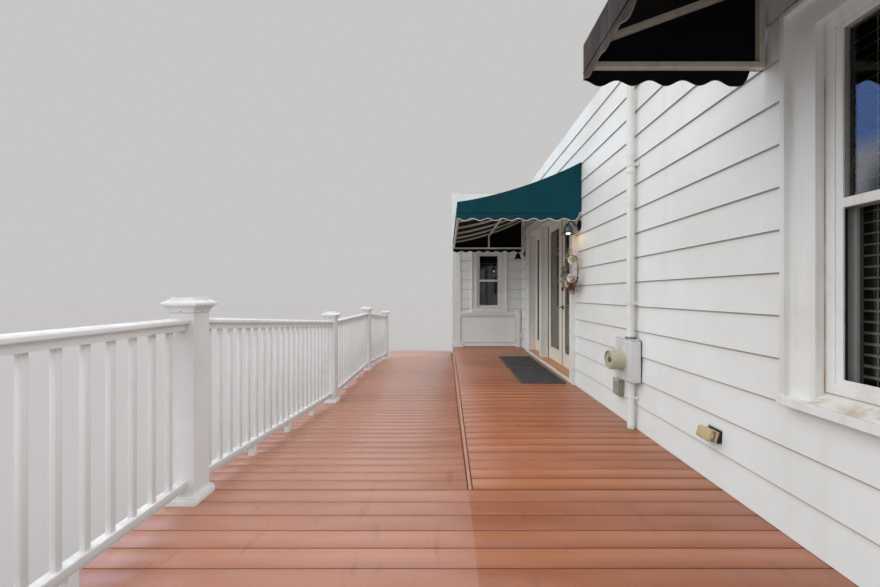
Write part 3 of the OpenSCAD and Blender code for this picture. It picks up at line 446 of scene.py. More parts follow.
def ranged(tree, value, low, high, to_low=0.0, to_high=1.0):
    """A value spread from one range over another, and kept inside it."""
    made = add(
        tree, "MapRange", {"clamp": True}, Value=value,
        From_Min=low, From_Max=high, To_Min=to_low, To_Max=to_high,
    )
    return made.outputs["Result"]


def new_group(name, inputs, outputs):
    """A shader node group with named sockets; gives the group and its ends."""
    group = bpy.data.node_groups.new(name, "ShaderNodeTree")
    for label, kind, value in inputs:
        socket = group.interface.new_socket(label, in_out="INPUT", socket_type="NodeSocket" + kind)
        if value is not None:
            socket.default_value = value
    for label, kind in outputs:
        group.interface.new_socket(label, in_out="OUTPUT", socket_type="NodeSocket" + kind)
    start = group.nodes.new("NodeGroupInput")
    end = group.nodes.new("NodeGroupOutput")
    return group, start.outputs, end.inputs


def build_mask(name, scale, low, high, detail, stretch=None):
    """A mask of soft patches from layered noise, or of streaks where the noise is stretched."""
    group, given, made = new_group(
        name,
        [("Vector", "Vector", None), ("Scale", "Float", scale), ("Low", "Float", low),
         ("High", "Float", high)],
        [("Mask", "Float")],
    )
    place = given["Vector"]
    if stretch:
        place = add(group, "Mapping", Vector=place, Scale=stretch).outputs["Vector"]
    noise = add(group, "TexNoise", Vector=place, Scale=given["Scale"], Detail=detail, Roughness=0.6)
    mask = ranged(group, noise.outputs["Fac"], given["Low"], given["High"])
    group.links.new(mask, made["Mask"])
    return group


def build_grain():
    """Long fibres on coordinates that are already stretched: a height and thin dark lines."""
    group, given, made = new_group(
        "grain",
        [("Vector", "Vector", None), ("Scale", "Float", 1.0)],
        [("Height", "Float"), ("Lines", "Float")],
    )
    broad = add(
        group, "TexNoise", Vector=given["Vector"], Scale=given["Scale"],
        Detail=6.0, Roughness=0.65, Distortion=0.4,
    )
    lines = ranged(group, broad.outputs["Fac"], 0.56, 0.74)
    group.links.new(broad.outputs["Fac"], made["Height"])
    group.links.new(lines, made["Lines"])
    return group


def build_dust():
    """Dust on faces that look up: a mask from the face's direction and noise."""
    group, given, made = new_group(
        "dust",
        [("Vector", "Vector", None), ("Scale", "Float", 20.0)],
        [("Mask", "Float")],
    )
    facing = add(group, "NewGeometry")
    parts = add(group, "SeparateXYZ", Vector=facing.outputs["Normal"])
    up = ranged(group, parts.outputs["Z"], 0.6, 0.95)
    fine = add(group, "TexNoise", Vector=given["Vector"], Scale=given["Scale"], Detail=5.0)
    loose = ranged(group, fine.outputs["Fac"], 0.35, 0.7)
    group.links.new(reckon(group, "MULTIPLY", up, loose), made["Mask"])
    return group


def build_weave():
    """Plain weave on coordinates in metres: a height from crossing threads."""
    group, given, made = new_group(
        "weave",
        [("Vector", "Vector", None), ("Threads", "Float", 2200.0)],
        [("Height", "Float")],
    )
    parts = add(group, "SeparateXYZ", Vector=given["Vector"])
    waves = []
    for axis in ("X", "Y"):
        turn = reckon(group, "MULTIPLY", parts.outputs[axis], given["Threads"])
        waves.append(reckon(group, "ABSOLUTE", reckon(group, "SINE", turn)))
    group.links.new(reckon(group, "MAXIMUM", *waves), made["Height"])
    return group


GROUPS = {
    "patches": build_mask("patches", 2.0, 0.45, 0.65, 5.0),
    "grain": build_grain(),
    "runs": build_mask("runs", 14.0, 0.5, 0.75, 4.0, (1, 1, 0.05)),
    "dust": build_dust(),
    "weave": build_weave(),
}


class Finish:
    """A material being put together, kept under its name."""

    def __init__(self, name, roughness=0.5, **sockets):
        self.material = bpy.data.materials.new(name)
        self.material.use_nodes = True
        self.tree = self.material.node_tree
        self.shader = self.tree.nodes["Principled BSDF"]
        self.shader.inputs["Roughness"].default_value = roughness
        for key, value in sockets.items():
            self.shader.inputs[key.replace("_", " ")].default_value = value
        FINISHES[name] = self.material

    def place(self, scale=(1, 1, 1), source="Object"):
        """Coordinates of the piece, or of its UV map, stretched by a scale."""
        start = add(self.tree, "TexCoord")
        return add(self.tree, "Mapping", Vector=start.outputs[source], Scale=scale).outputs["Vector"]

    def effect(self, group, **inputs):
        """A node of one of the shared groups."""
        made = self.tree.nodes.new("ShaderNodeGroup")
        made.node_tree = GROUPS[group]
        for key, value in inputs.items():
            feed(self.tree, made.inputs[key], value)
        return made.outputs

    def mix(self, share, a, b):
        return mixed(self.tree, share, a, b)

    def times(self, a, b):
        return reckon(self.tree, "MULTIPLY", a, b)

    def over(self, under, mask, share, colour):
        """A screen colour laid over another through a share of a mask."""
        return self.mix(self.times(mask, share), under, paint(*colour))

    def colour(self, value):
        feed(self.tree, self.shader.inputs["Base Color"], value)

    def sheen_by(self, mask, low, high):
        """Roughness from low to high as the mask goes from 0 to 1."""
        feed(self.tree, self.shader.inputs["Roughness"], ranged(self.tree, mask, 0, 1, low, high))

    def bumps(self, *layers):
        """Bumps laid over each other: height, depth in metres and strength."""
        normal = None
        for height, depth, strength in layers:
            made = add(self.tree, "Bump", Height=height, Distance=depth, Strength=strength)
            if normal:
                self.tree.links.new(normal, made.inputs["Normal"])
            normal = made.outputs["Normal"]
        self.tree.links.new(normal, self.shader.inputs["Normal"])


# Finishes

def coated(name, base, worn, roughness=0.4, patch=3.0, low=0.5, high=0.75, pores=180.0,
           pore_depth=0.0002, dusty=None, runs=None, **sockets):
    """A painted or moulded surface: fading in patches, fine pores, and dust or runs."""
    finish = Finish(name, roughness, **sockets)
    place = finish.place()
    patches = finish.effect("patches", Vector=place, Scale=patch, Low=low, High=high)["Mask"]
    colour = finish.mix(patches, paint(*base), paint(*worn))
    if runs:
        streak = finish.effect("runs", Vector=place)["Mask"]
        colour = finish.over(colour, streak, 0.35, runs)
    if dusty:
        dust = finish.effect("dust", Vector=place)["Mask"]
        colour = finish.over(colour, dust, 0.45, dusty)
    finish.colour(colour)
    finish.sheen_by(patches, roughness, min(1, roughness + 0.14))
    fine = add(finish.tree, "TexNoise", Vector=place, Scale=pores, Detail=3.0)
    finish.bumps((fine.outputs["Fac"], pore_depth, 0.5))
    return finish


def decking_finish():
    """Composite boards: a tone for each board, embossed grain, pale patches of fading and painted sheen,
    painted shade across each board, a ramp strip and near end made paler by painted sheen and fading, and
    scuffed patches.
    """
    finish = Finish("composite_decking", 0.45, Specular_IOR_Level=0.5)
    tree = finish.tree
    tone = add(tree, "Attribute", {"attribute_name": "tone"}).outputs["Fac"]
    body = finish.mix(tone, paint(152, 80, 38), paint(182, 110, 68))
    fibres = finish.effect("grain", Vector=finish.place((2.2, 70, 70)), Scale=1.0)
    body = finish.over(body, fibres["Lines"], 0.4, (112, 60, 44))
    # Pale pink patches: partly fading of the boards, partly painted sheen of the sky on them.
    faded = finish.effect("patches", Vector=finish.place((0.5, 1.4, 1)), Scale=1.1, Low=0.42, High=0.7)
    body = finish.over(body, faded["Mask"], 0.45, (200, 140, 110))
    parts = add(tree, "SeparateXYZ", Vector=finish.place()).outputs
    # Painted shade across each board: darker towards one edge, as light falls on a cupped board, and
    # stronger on some boards than others.
    across = add(tree, "Attribute", {"attribute_name": "across"}).outputs["Fac"]
    cupped_board_shade = finish.times(ranged(tree, across, 0.6, 0.0), ranged(tree, tone, 0.1, 0.9, 0.1, 0.72))
    body = finish.mix(cupped_board_shade, body, paint(140, 70, 30))
    # The ramp strip and the near end turn paler pink: painted sheen of the sky on the boards, with some
    # fading.
    near = ranged(tree, parts["Y"], RAMP_START + 0.002, RAMP_START)
    ramp = ranged(tree, parts["X"], SKIRT_LOW.x, SKIRT_LOW.x - 0.002)
    open_air_fade_and_sheen = reckon(tree, "MAXIMUM", finish.times(near, 0.07), finish.times(ramp, 0.30))
    body = finish.mix(open_air_fade_and_sheen, body, paint(206, 164, 150))
    scuffs = finish.effect("patches", Vector=finish.place((5, 1.2, 1)), Scale=3.0, Low=0.6, High=0.72)
    body = finish.over(body, scuffs["Mask"], 0.3, (128, 74, 52))
    thrown = add(tree, "LightPath").outputs["Is Diffuse Ray"]
    finish.colour(finish.mix(thrown, body, paint(165, 148, 138)))
    finish.sheen_by(faded["Mask"], 0.30, 0.44)
    fine = add(tree, "TexNoise", Vector=finish.place((30, 260, 260)), Scale=1.0, Detail=3.0)
    finish.bumps((fibres["Height"], 0.0012, 0.35), (fine.outputs["Fac"], 0.0005, 0.3))


def timber_finish(name, stretch, base, dark, light, roughness=0.7):
    """Sawn timber with its grain along one axis, given by the stretch of its coordinates."""
    finish = Finish(name, roughness)
    fibres = finish.effect("grain", Vector=finish.place(stretch), Scale=1.0)
    grey = finish.effect("patches", Vector=finish.place(), Scale=2.5)["Mask"]
    body = finish.mix(fibres["Height"], paint(*light), paint(*base))
    body = finish.over(body, fibres["Lines"], 0.6, dark)
    body = finish.over(body, grey, 0.4, (150, 140, 124))
    finish.colour(body)
    finish.bumps((fibres["Height"], 0.0015, 0.4))


def siding_finish(name, stretch, line=0.55):
    """White lap boards: embossed grain, painted shade and dirt under each butt edge, painted shade on the
    butts' undersides, and small marks; line sets how strong the painted shade is.
    """
    finish = Finish(name, 0.5)
    tree = finish.tree
    place = finish.place()
    height = add(tree, "SeparateXYZ", Vector=place).outputs["Z"]
    up = reckon(tree, "FRACT", reckon(tree, "DIVIDE", reckon(tree, "SUBTRACT", height, DECK_Z), COURSE))
    # Painted shade with some dirt: a soft darker band under each butt edge, and a sharper painted shade
    # line just beneath it.
    shade_and_dirt_under_butt = ranged(tree, up, 0.84, 1.0)
    shade_line = ranged(tree, up, 0.945, 0.97)
    # Painted shade: faces that look down, the undersides of the butts, are darker.
    facing = add(tree, "SeparateXYZ", Vector=add(tree, "NewGeometry").outputs["Normal"]).outputs["Z"]
    shaded_butt_face = ranged(tree, facing, -0.3, -0.7)
    fibres = finish.effect("grain", Vector=finish.place(stretch), Scale=1.0)
    faded = finish.effect("patches", Vector=place, Scale=1.3, Low=0.4, High=0.7)["Mask"]
    body = finish.mix(faded, paint(240, 242, 242), paint(230, 231, 228))
    body = finish.over(body, shade_and_dirt_under_butt, 0.35, (205, 198, 182))
    body = finish.over(body, shade_line, line, (142, 133, 120))
    body = finish.over(body, shaded_butt_face, line + 0.2, (172, 160, 146))
    grime = finish.effect("runs", Vector=place, Scale=9.0, Low=0.58, High=0.82)["Mask"]
    body = finish.over(body, grime, 0.22, (198, 190, 172))
    specks = finish.effect("patches", Vector=place, Scale=38.0, Low=0.72, High=0.76)["Mask"]
    body = finish.over(body, specks, 0.35, (150, 138, 118))
    finish.colour(body)
    finish.sheen_by(faded, 0.42, 0.6)
    finish.bumps((fibres["Height"], 0.0012, 0.3))


def block_finish():
    """Concrete blocks with mortar joints."""
    finish = Finish("foundation_concrete", 0.85)
    tree = finish.tree
    parts = add(tree, "SeparateXYZ", Vector=finish.place())
    along = reckon(tree, "ADD", parts.outputs["X"], parts.outputs["Y"])
    flat = add(tree, "CombineXYZ", X=along, Y=parts.outputs["Z"])
    blocks = add(
        tree, "TexBrick", Vector=flat.outputs["Vector"], Scale=1.0, Mortar_Size=0.006,
        Mortar_Smooth=0.3, Brick_Width=0.40, Row_Height=0.20,
        Color1=paint(168, 165, 158), Color2=paint(150, 148, 142), Mortar=paint(122, 120, 114),
    )
    rough = add(tree, "TexNoise", Vector=finish.place(), Scale=60.0, Detail=6.0)
    stain = finish.effect("patches", Vector=finish.place(), Scale=2.0)["Mask"]
    finish.colour(finish.mix(finish.times(stain, 0.4), blocks.outputs["Color"], paint(128, 120, 108)))
    sunk = reckon(tree, "SUBTRACT", 1.0, blocks.outputs["Fac"])
    finish.bumps((sunk, 0.004, 0.8), (rough.outputs["Fac"], 0.002, 0.6))


def canvas_finish(name, base, faded, stain, lining=False, worn=None):
    """Awning cloth on its own UV map, in metres: weave, fading and stains."""
    finish = Finish(name, 0.85, Specular_IOR_Level=0.15)
    flat = finish.place(source="UV")
    place = finish.place()
    fade = finish.effect("patches", Vector=place, Scale=1.6, Low=0.4, High=0.7)["Mask"]
    body = finish.mix(fade, paint(*base), paint(*faded))
    streaks = finish.effect("patches", Vector=finish.place((1.5, 9, 1.5)), Scale=1.2, Low=0.5, High=0.72)
    body = finish.over(body, streaks["Mask"], 0.1 if lining else 0.5, stain)
    if not lining:
        drips = finish.effect("runs", Vector=place, Scale=22.0, Low=0.5, High=0.72)["Mask"]
        body = finish.over(body, drips, 0.55, worn or faded)
    weave = finish.effect("weave", Vector=flat)["Height"]
    creases = add(finish.tree, "TexNoise", Vector=flat, Scale=3.0, Detail=2.0)
    finish.colour(body)
    finish.bumps((creases.outputs["Fac"], 0.008, 0.35), (weave, 0.0003, 0.4))


def build_finishes():
    decking_finish()
    timber_finish("frame_timber", (40, 2, 40), (176, 150, 108), (120, 96, 62), (196, 172, 130))
    timber_finish("beam_timber", (2, 40, 40), (172, 146, 106), (116, 92, 60), (192, 168, 128))
    timber_finish("sill_wood", (60, 2.5, 60), (206, 134, 66), (150, 86, 36), (224, 160, 92), 0.42)
    siding_finish("white_siding", (34, 1.6, 34))
    siding_finish("wing_siding", (1.6, 34, 34), 0.25)
    block_finish()
    canvas_finish("green_canvas", (8, 62, 72), (14, 74, 84), (22, 60, 66))
    canvas_finish("charcoal_canvas", (50, 45, 43), (78, 74, 72), (112, 64, 48), worn=(112, 116, 116))
    canvas_finish("black_lining", (12, 13, 16), (18, 19, 22), (22, 22, 24), lining=True)
    # Painted shade: the door awning's welt is dark to give the shadow band along its seam.
    coated("painted_seam_shade", (4, 34, 40), (6, 44, 50), 0.9, pores=300.0)
    coated("cream_binding", (245, 240, 226), (228, 220, 200), 0.7, pores=300.0)
    coated("tan_binding", (112, 98, 80), (88, 78, 64), 0.7, pores=300.0)
    coated("trim_strip", (190, 140, 118), (172, 122, 98), 0.45, pores=90.0)
    coated("rusty_screw", (128, 84, 52), (172, 156, 140), 0.5, patch=90.0)
    coated("brown_caulk", (176, 146, 122), (206, 190, 172), 0.8, patch=9.0, low=0.42, high=0.6)
    coated("weathered_sill", (236, 232, 226), (204, 188, 168), 0.6, patch=9.0, low=0.5, high=0.66)
    coated("sash_grey", (150, 150, 148), (128, 127, 124), 0.5, patch=5.0)
    coated("cable_taupe", (164, 162, 152), (138, 134, 122), 0.5, patch=9.0)
    coated("taupe_tube", (216, 208, 194), (188, 178, 162), 0.5, patch=8.0)
    coated("white_vinyl", (233, 232, 232), (220, 218, 217), 0.36, patch=2.0,
           dusty=(158, 150, 142), pores=240.0, pore_depth=0.0001, Specular_IOR_Level=0.25)
    coated("wall_core", (228, 225, 216), (216, 212, 202), 0.7, pores=120.0, pore_depth=0.0006)
    coated("white_trim", (239, 240, 239), (226, 225, 220), 0.42, patch=2.4,
           runs=(190, 176, 150), dusty=(200, 192, 176), pores=140.0, pore_depth=0.0004)
    coated("door_paint", (246, 238, 226), (236, 226, 212), 0.36, pores=200.0)
    coated("black_hardware", (20, 20, 22), (38, 37, 36), 0.34, patch=30.0, Metallic=0.4)
    coated("hinge_steel", (186, 185, 180), (150, 146, 138), 0.34, patch=40.0, Metallic=0.9)
    coated("window_blind", (196, 198, 178), (172, 174, 156), 0.5, patch=6.0)
    coated("awning_tube", (244, 240, 228), (214, 206, 190), 0.4, patch=8.0,
           runs=(140, 120, 92), Metallic=0.0)
    coated("lantern_metal", (70, 82, 92), (92, 104, 112), 0.34, patch=18.0, Metallic=0.35)
    coated("box_grey", (222, 223, 222), (206, 207, 204), 0.42, patch=7.0,
           runs=(150, 142, 126), Metallic=0.1)
    coated("meter_beige", (186, 180, 158), (168, 160, 138), 0.42, patch=9.0)
    coated("conduit_white", (236, 236, 232), (216, 213, 204), 0.4, patch=5.0,
           runs=(170, 150, 118))
    coated("outlet_tan", (194, 173, 130), (176, 154, 112), 0.42, patch=12.0)
    coated("mat_rubber", (62, 62, 64), (82, 80, 78), 0.8, patch=6.0, pores=420.0,
           pore_depth=0.0015, dusty=(112, 104, 94))
    # Painted shade: dark strips for the shadow lines along the low panel's joints.
    coated("painted_shade_line", (118, 106, 96), (140, 128, 116), 0.8, patch=6.0)
    # Painted shade: near black sheets that stand for the unlit room behind the windows.
    coated("painted_room_shade", (8, 8, 9), (12, 12, 12), 0.9, patch=2.0)
    coated("panel_paint", (246, 243, 240), (238, 234, 228), 0.45, patch=1.4, pores=120.0)
    coated("door_blind", (206, 188, 152), (186, 168, 134), 0.5, patch=3.0)
    coated("sheer_curtain", (116, 116, 112), (92, 92, 90), 0.8, patch=5.0, pores=900.0)
    coated("dark_rubber", (24, 24, 25), (40, 39, 38), 0.7, patch=20.0)
    coated("aged_metal", (112, 112, 108), (84, 82, 76), 0.45, patch=25.0, Metallic=0.6)
    coated("smoked_tan", (138, 122, 92), (118, 104, 78), 0.35, patch=12.0)
    coated("wreath_vine", (150, 112, 76), (40, 30, 24), 0.8, patch=34.0, low=0.46, high=0.56,
           pores=400.0, pore_depth=0.0012)
    coated("rose_pink", (255, 238, 241), (255, 252, 250), 0.7, patch=40.0)
    coated("rose_cream", (250, 242, 224), (232, 202, 176), 0.7, patch=40.0)
    coated("rose_peach", (244, 214, 196), (236, 192, 180), 0.7, patch=40.0)
    coated("leaf_green", (124, 142, 108), (196, 200, 176), 0.6, patch=22.0)
    coated("unlit_bulb", (214, 208, 196), (196, 190, 178), 0.2, patch=20.0)
    glow = Finish("bulb_glass", 0.3, Emission_Strength=11.0)
    warm = glow.effect("patches", Vector=glow.place(), Scale=20.0)["Mask"]
    glow.colour(paint(255, 236, 200))
    lit = glow.mix(warm, paint(255, 214, 150), paint(255, 226, 176))
    feed(glow.tree, glow.shader.inputs["Emission Color"], lit)
    for name, tint, index in (
        ("pane_glass", (104, 112, 118), 1.65), ("clear_glass", (190, 188, 176), 1.42),
        ("still_glass", (196, 200, 192), 1.42),
    ):
        glass = Finish(name, 0.03, Transmission_Weight=1.0 if name == "still_glass" else 0.95, IOR=index)
        clean = glass.effect("patches", Vector=glass.place(), Scale=3.0)["Mask"]
        glass.colour(glass.mix(clean, paint(*tint), paint(*[c + 10 for c in tint])))
    # Opaque dark glass: painted shade of the unlit room, behind the door leaves' inner panes and in the
    # side panel.
    dark = Finish("room_shade_glass", 0.06, IOR=1.45)
    haze = dark.effect("patches", Vector=dark.place(), Scale=2.0)["Mask"]
    dark.colour(dark.mix(haze, paint(26, 30, 34), paint(40, 46, 50)))


# Deck

def toned(obj, boards, seed):
    """Gives each board of an array its own tone and each corner its share across the board."""
    draw = random.Random(seed)
    tones = [draw.random() for _ in range(boards)]
    each = len(obj.data.vertices) // boards
    attribute = obj.data.attributes.new("tone", "FLOAT", "POINT")
    attribute.data.foreach_set(
        "value", [tones[min(i // each, boards - 1)] for i in range(len(obj.data.vertices))]
    )
    lines = [v.co.y for v in obj.data.vertices[:each]]
    low, high = min(lines), max(lines)
    attribute = obj.data.attributes.new("across", "FLOAT", "POINT")
    attribute.data.foreach_set(
        "value", [(lines[i % each] - low) / (high - low) for i in range(len(obj.data.vertices))]
    )
    return obj


def deck_strip(x0, x1, y0, z0, y1, z1, seed):
    """Boards across a strip that runs from (y0, z0) to (y1, z1)."""
    length = math.hypot(y1 - y0, z1 - z0)
    boards = max(1, round(length / BOARD_PITCH))
    width = length / boards - BOARD_GAP
    board = block((x0, 0, -BOARD_T), (x1, width, 0))
    rounded(board, 0.003, 2)
    slope = Matrix.Rotation(math.atan2(z1 - z0, y1 - y0), 4, "X")
    board.data.transform(shifted(0, y0, z0) @ slope @ shifted(0, BOARD_GAP / 2, 0))
    step = (0, (y1 - y0) / boards, (z1 - z0) / boards)
    repeated(board, boards, step)
    return toned(board, boards, seed)


def deck_boards():
    near = deck_strip(EDGE_X, CORE_X, NEAR_Y, DECK_Z, RAMP_START, DECK_Z, 1)
    porch = deck_strip(SKIRT_HIGH.x + 0.007, CORE_X, RAMP_START + STRIP_GAP, DECK_Z, WING_Y, DECK_Z, 2)
    finished(joined([near, porch]), "level_deck_boards", "composite_decking", replaces=["level_decking"])
    strips = []
    for i, (start, end) in enumerate(zip(FLOOR_LINE[1:], FLOOR_LINE[2:])):
        gap = STRIP_GAP
        run = end[0] - start[0]
        fall = (end[1] - start[1]) * gap / run
        strips.append(deck_strip(EDGE_X, SKIRT_LOW.x - 0.007, start[0] + gap, start[1] + fall, *end, 3 + i))
    finished(joined(strips), "ramp_boards", "composite_decking", replaces=["ramp_decking"])


# Railing

def hand_rail_outline():
    """Across and up, with the top at 0: a domed cap with a lip over a narrower body."""
    half, dome, lip, body, foot = 0.040, 0.014, 0.031, 0.024, 0.065
    arc = [
        (half * math.cos(math.radians(a)), dome * (math.sin(math.radians(a)) - 1))
        for a in range(0, 181, 12)
    ]
    return [
        (-body, -foot), (body, -foot), (body, -lip - 0.003), (half - 0.006, -lip - 0.001),
        (half - 0.001, -lip + 0.004), *arc,
        (-half + 0.001, -lip + 0.004), (-half + 0.006, -lip - 0.001), (-body, -lip - 0.003),
    ]


def low_rail_outline():
    """Across and up, with the underside at 0: a rail with a narrower foot."""
    foot, body, shoulder = 0.018, 0.024, 0.35 * LOW_RAIL_H
    return [
        (-foot, 0), (foot, 0), (body - 0.001, shoulder - 0.002), (body, shoulder),
        (body, LOW_RAIL_H - 0.003), (body - 0.003, LOW_RAIL_H),
        (-body + 0.003, LOW_RAIL_H), (-body, LOW_RAIL_H - 0.003),
        (-body, shoulder), (-body + 0.001, shoulder - 0.002),
    ]


def railing_panel(y0, y1, z0, z1):
    """A panel between two post middles, at x = 0, with its balusters and small feet."""
    baluster, pitch, foot, foot_pitch = 0.024, 0.105, 0.040, 0.570
    a, b = y0 + POST_W / 2, y1 - POST_W / 2
    slope = (z1 - z0) / (y1 - y0)
    za, zb = z0 + slope * (a - y0), z0 + slope * (b - y0)
    parts = []
    for outline, up in ((hand_rail_outline(), RAIL_H), (low_rail_outline(), FOOT_H)):
        bar = drawn([(x, a, za + up + z) for x, z in outline])
        parts.append(extruded(bar, (0, b - a, zb - za)))
        high = max(z for _, z in outline)
        deep = high - min(z for _, z in outline)
        for y, z_end, run in ((a, za, 0.007), (b, zb, -0.007)):
            wide = [(x * 1.13, (z - high + deep / 2) * 1.10 + high - deep / 2) for x, z in outline]
            bracket = drawn([(x, y, z_end + up + z) for x, z in wide])
            parts.append(rounded(extruded(bracket, (0, run, slope * run)), 0.0012, 1, 60))
    count = int((b - a) / pitch)
    first = (a + b) / 2 - (count - 1) * pitch / 2
    z_first = z0 + slope * (first - y0)
    upright = block(
        (-baluster / 2, first - baluster / 2, z_first + FOOT_H + LOW_RAIL_H - 0.004),
        (baluster / 2, first + baluster / 2, z_first + RAIL_H - 0.062),
    )
    parts.append(repeated(rounded(upright, 0.003, 2), count, (0, pitch, slope * pitch)))
    feet = round((b - a) / foot_pitch) - 1
    for i in range(1, feet + 1):
        y = a + i * (b - a) / (feet + 1)
        z = z0 + slope * (y - y0)
        leg = block((-foot / 2, y - foot / 2, z + abs(slope) * foot / 2),
                    (foot / 2, y + foot / 2, z + FOOT_H + 0.004))
        parts.append(rounded(leg, 0.002, 1))
    return joined(parts)


def railings():
    across = swung(-90, "Z")
    for i in range(4):
        y0, y1 = POST_Y[i], POST_Y[i + 1]
        panel = railing_panel(y0, y1, floor_height(y0), floor_height(y1))
        panel.data.transform(shifted(RAIL_X))
        node = "level_railings" if i in (0, 2) else "ramp_railings"
        finished(panel, f"railing_bay_{i + 1}", "white_vinyl", replaces=[node])
    ends = [RAIL_X, *END_POST_X]
    for i in range(2):
        panel = railing_panel(ends[i], ends[i + 1], DECK_Z, DECK_Z)
        panel.data.transform(shifted(0, FIRST_POST_Y) @ across)
        finished(panel, f"end_railing_{i + 1}", "white_vinyl", replaces=["level_railings"])


def post_places():
    places = [(RAIL_X, y, floor_height(y)) for y in POST_Y]
    return places + [(x, FIRST_POST_Y, DECK_Z) for x in END_POST_X]


def post_caps():
    """A moulded cap: band, cove, brim, a low slope and a flat plate, copied to each post."""
    band, edge, plate = POST_W / 2 + 0.005, CAP_W / 2, POST_W / 2
    cove = [
        (band + (edge - 0.004 - band) * (1 - math.cos(math.radians(a))), 0.010 + 0.026 * a / 80)
        for a in range(0, 81, 10)
    ]
    rings = [(band - 0.0015, 0), (band, 0.0015), *cove, (edge - 0.001, 0.037), (edge, 0.039),
             (edge, 0.0505), (edge - 0.002, 0.0525), (plate + 0.004, 0.068), (plate, 0.0695),
             (plate, CAP_H - 0.002), (plate - 0.002, CAP_H)]
    cap = stacked((0, 0, POST_H - CAP_H), rings)
    caps = [copied(cap, shifted(*place)) for place in post_places()]
    bpy.data.objects.remove(cap)
    finished(joined(caps), "moulded_caps", "white_vinyl", replaces=["post_caps"], smooth=50)
    dome = [(0, 0), (0.0034, 0), (0.0034, 0.0006), (0.002, 0.0013), (0, 0.0013)]
    head = turned_out((-band, 0, 0), dome, 12)
    screws = [
        copied(head, shifted(x, y, z + POST_H - CAP_H + 0.006) @ swung(side, "Z"))
        for x, y, z in post_places()
        for side in (90, 180)
    ]
    bpy.data.objects.remove(head)
    finished(joined(screws), "cap_screws", "white_vinyl", "rusty_screw", smooth=50)


def post_collars():
    """A base collar with an ogee over a plate; on a ramp its foot follows the floor."""
    half, lip = COLLAR_W / 2, 0.009
    ogee = [
        (half - lip * (1 - math.cos(math.radians(a))), 0.031 + 0.014 * math.sin(math.radians(a)))
        for a in range(0, 91, 15)
    ]
    rings = [(half, -0.014), (half, 0.027), (half - 0.002, 0.029), (half - 0.004, 0.031),
             *[(w - 0.004, z) for w, z in ogee], (POST_W / 2 + 0.004, COLLAR_H - 0.001),
             (POST_W / 2 + 0.001, COLLAR_H)]
    collar = stacked((0, 0, 0), rings)
    hole = POST_W / 2 + 0.0002
    carved(collar, [block((-hole, -hole, -0.1), (hole, hole, 0.1))])
    collars = []
    for x, y, z in post_places():
        slope = floor_height(y + 0.01) - floor_height(y - 0.01) if x == RAIL_X else 0
        twin = only(copied(collar, Matrix.Identity(4)))
        bpy.ops.object.mode_set(mode="EDIT")
        bpy.ops.mesh.select_all(action="SELECT")
        bpy.ops.mesh.bisect(
            plane_co=(0, 0, 0.0005), plane_no=(0, slope / 0.02, -1), use_fill=True, clear_outer=True,
        )
        bpy.ops.object.mode_set(mode="OBJECT")
        twin.data.transform(shifted(x, y, z))
        collars.append(twin)
    bpy.data.objects.remove(collar)
    finished(joined(collars), "moulded_collars", "white_vinyl", replaces=["post_collars"], smooth=50)


# Siding

def lap_course(start, end, low, high, facing):
    """One course of boards as a wedge bar between two points of a wall's plan."""
    (x0, y0), (x1, y1) = start, end
    out = Vector((*facing, 0))
    outline = [(0, low), (LAP_FOOT - 0.0015, low), (LAP_FOOT, low + 0.0015), (LAP_TOP, high), (0, high)]
    points = [Vector((x0, y0, z)) + out * depth for depth, z in outline]
    return extruded(drawn(points), (x1 - x0, y1 - y0, 0))


def blades(start, end, facing, seed):
    """Thin cutters at the staggered butt joints of every course."""
    draw = random.Random(seed)
    run = Vector((end[0] - start[0], end[1] - start[1], 0))
    along = run.normalized()
    out = Vector((*facing, 0))
    made = []
    for i in range(round((WALL_TOP - DECK_Z) / COURSE)):
        joint = (i * 1.37 + draw.uniform(0, 0.4)) % BOARD_RUN
        while joint < run.length - 0.3:
            if joint > 0.3:
                middle = Vector((start[0], start[1], 0)) + along * joint
                half = along * BUTT_GAP / 2
                z = DECK_Z + i * COURSE
                corners = [middle - half - out * 0.001, middle + half + out * (LAP_FOOT + 0.001)]
                low = [min(c[k] for c in corners) for k in (0, 1)] + [z]
                high = [max(c[k] for c in corners) for k in (0, 1)] + [z + COURSE]
                made.append(block(low, high))
            joint += BOARD_RUN
    return made


def clad(name, slot_look, start, end, facing, cutters, seed):
    """A wall of lap boards: one course, repeated up the wall, jointed and cut out."""
    courses = round((WALL_TOP - DECK_Z) / COURSE)
    boards = lap_course(start, end, DECK_Z + 0.0002, DECK_Z + COURSE - 0.0002, facing)
    repeated(boards, courses, (0, 0, COURSE))
    carved(boards, blades(start, end, facing, seed) + cutters, overlap=True)
    return finished(boards, name, "white_siding", slot_look, replaces=["lap_siding"], smooth=20)


def panel_shade_lines():
    """Dark strips of painted shade along the low panel's joints: under both steps of its ledge, at its
    sides, at the floor and over its base board.
    """
    low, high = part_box("wing_panel")
    end = high.x - 0.079
    y = WING_CORE.y
    lines = []
    for x0, x1, out, z0, z1 in (
        (low.x, end, 0.030, 0.662, 0.6686), (low.x, end, 0.012, 0.621, 0.6298),
        (low.x, low.x + 0.007, 0.012, 0.080, 0.621), (end - 0.007, end, 0.012, 0.080, 0.621),
        (low.x + 0.061, end, 0.022, 0.0005, 0.012), (low.x + 0.061, end, 0.012, 0.080, 0.088),
    ):
        lines.append(block((x0, y - out - 0.0012, DECK_Z + z0), (x1, y - out, DECK_Z + z1)))
    finished(joined(lines), "panel_painted_shade_lines", "white_trim", "painted_shade_line", smooth=0)


PLATE_UP = 0.098    # middle of a lantern's wall plate over the foot of its shade


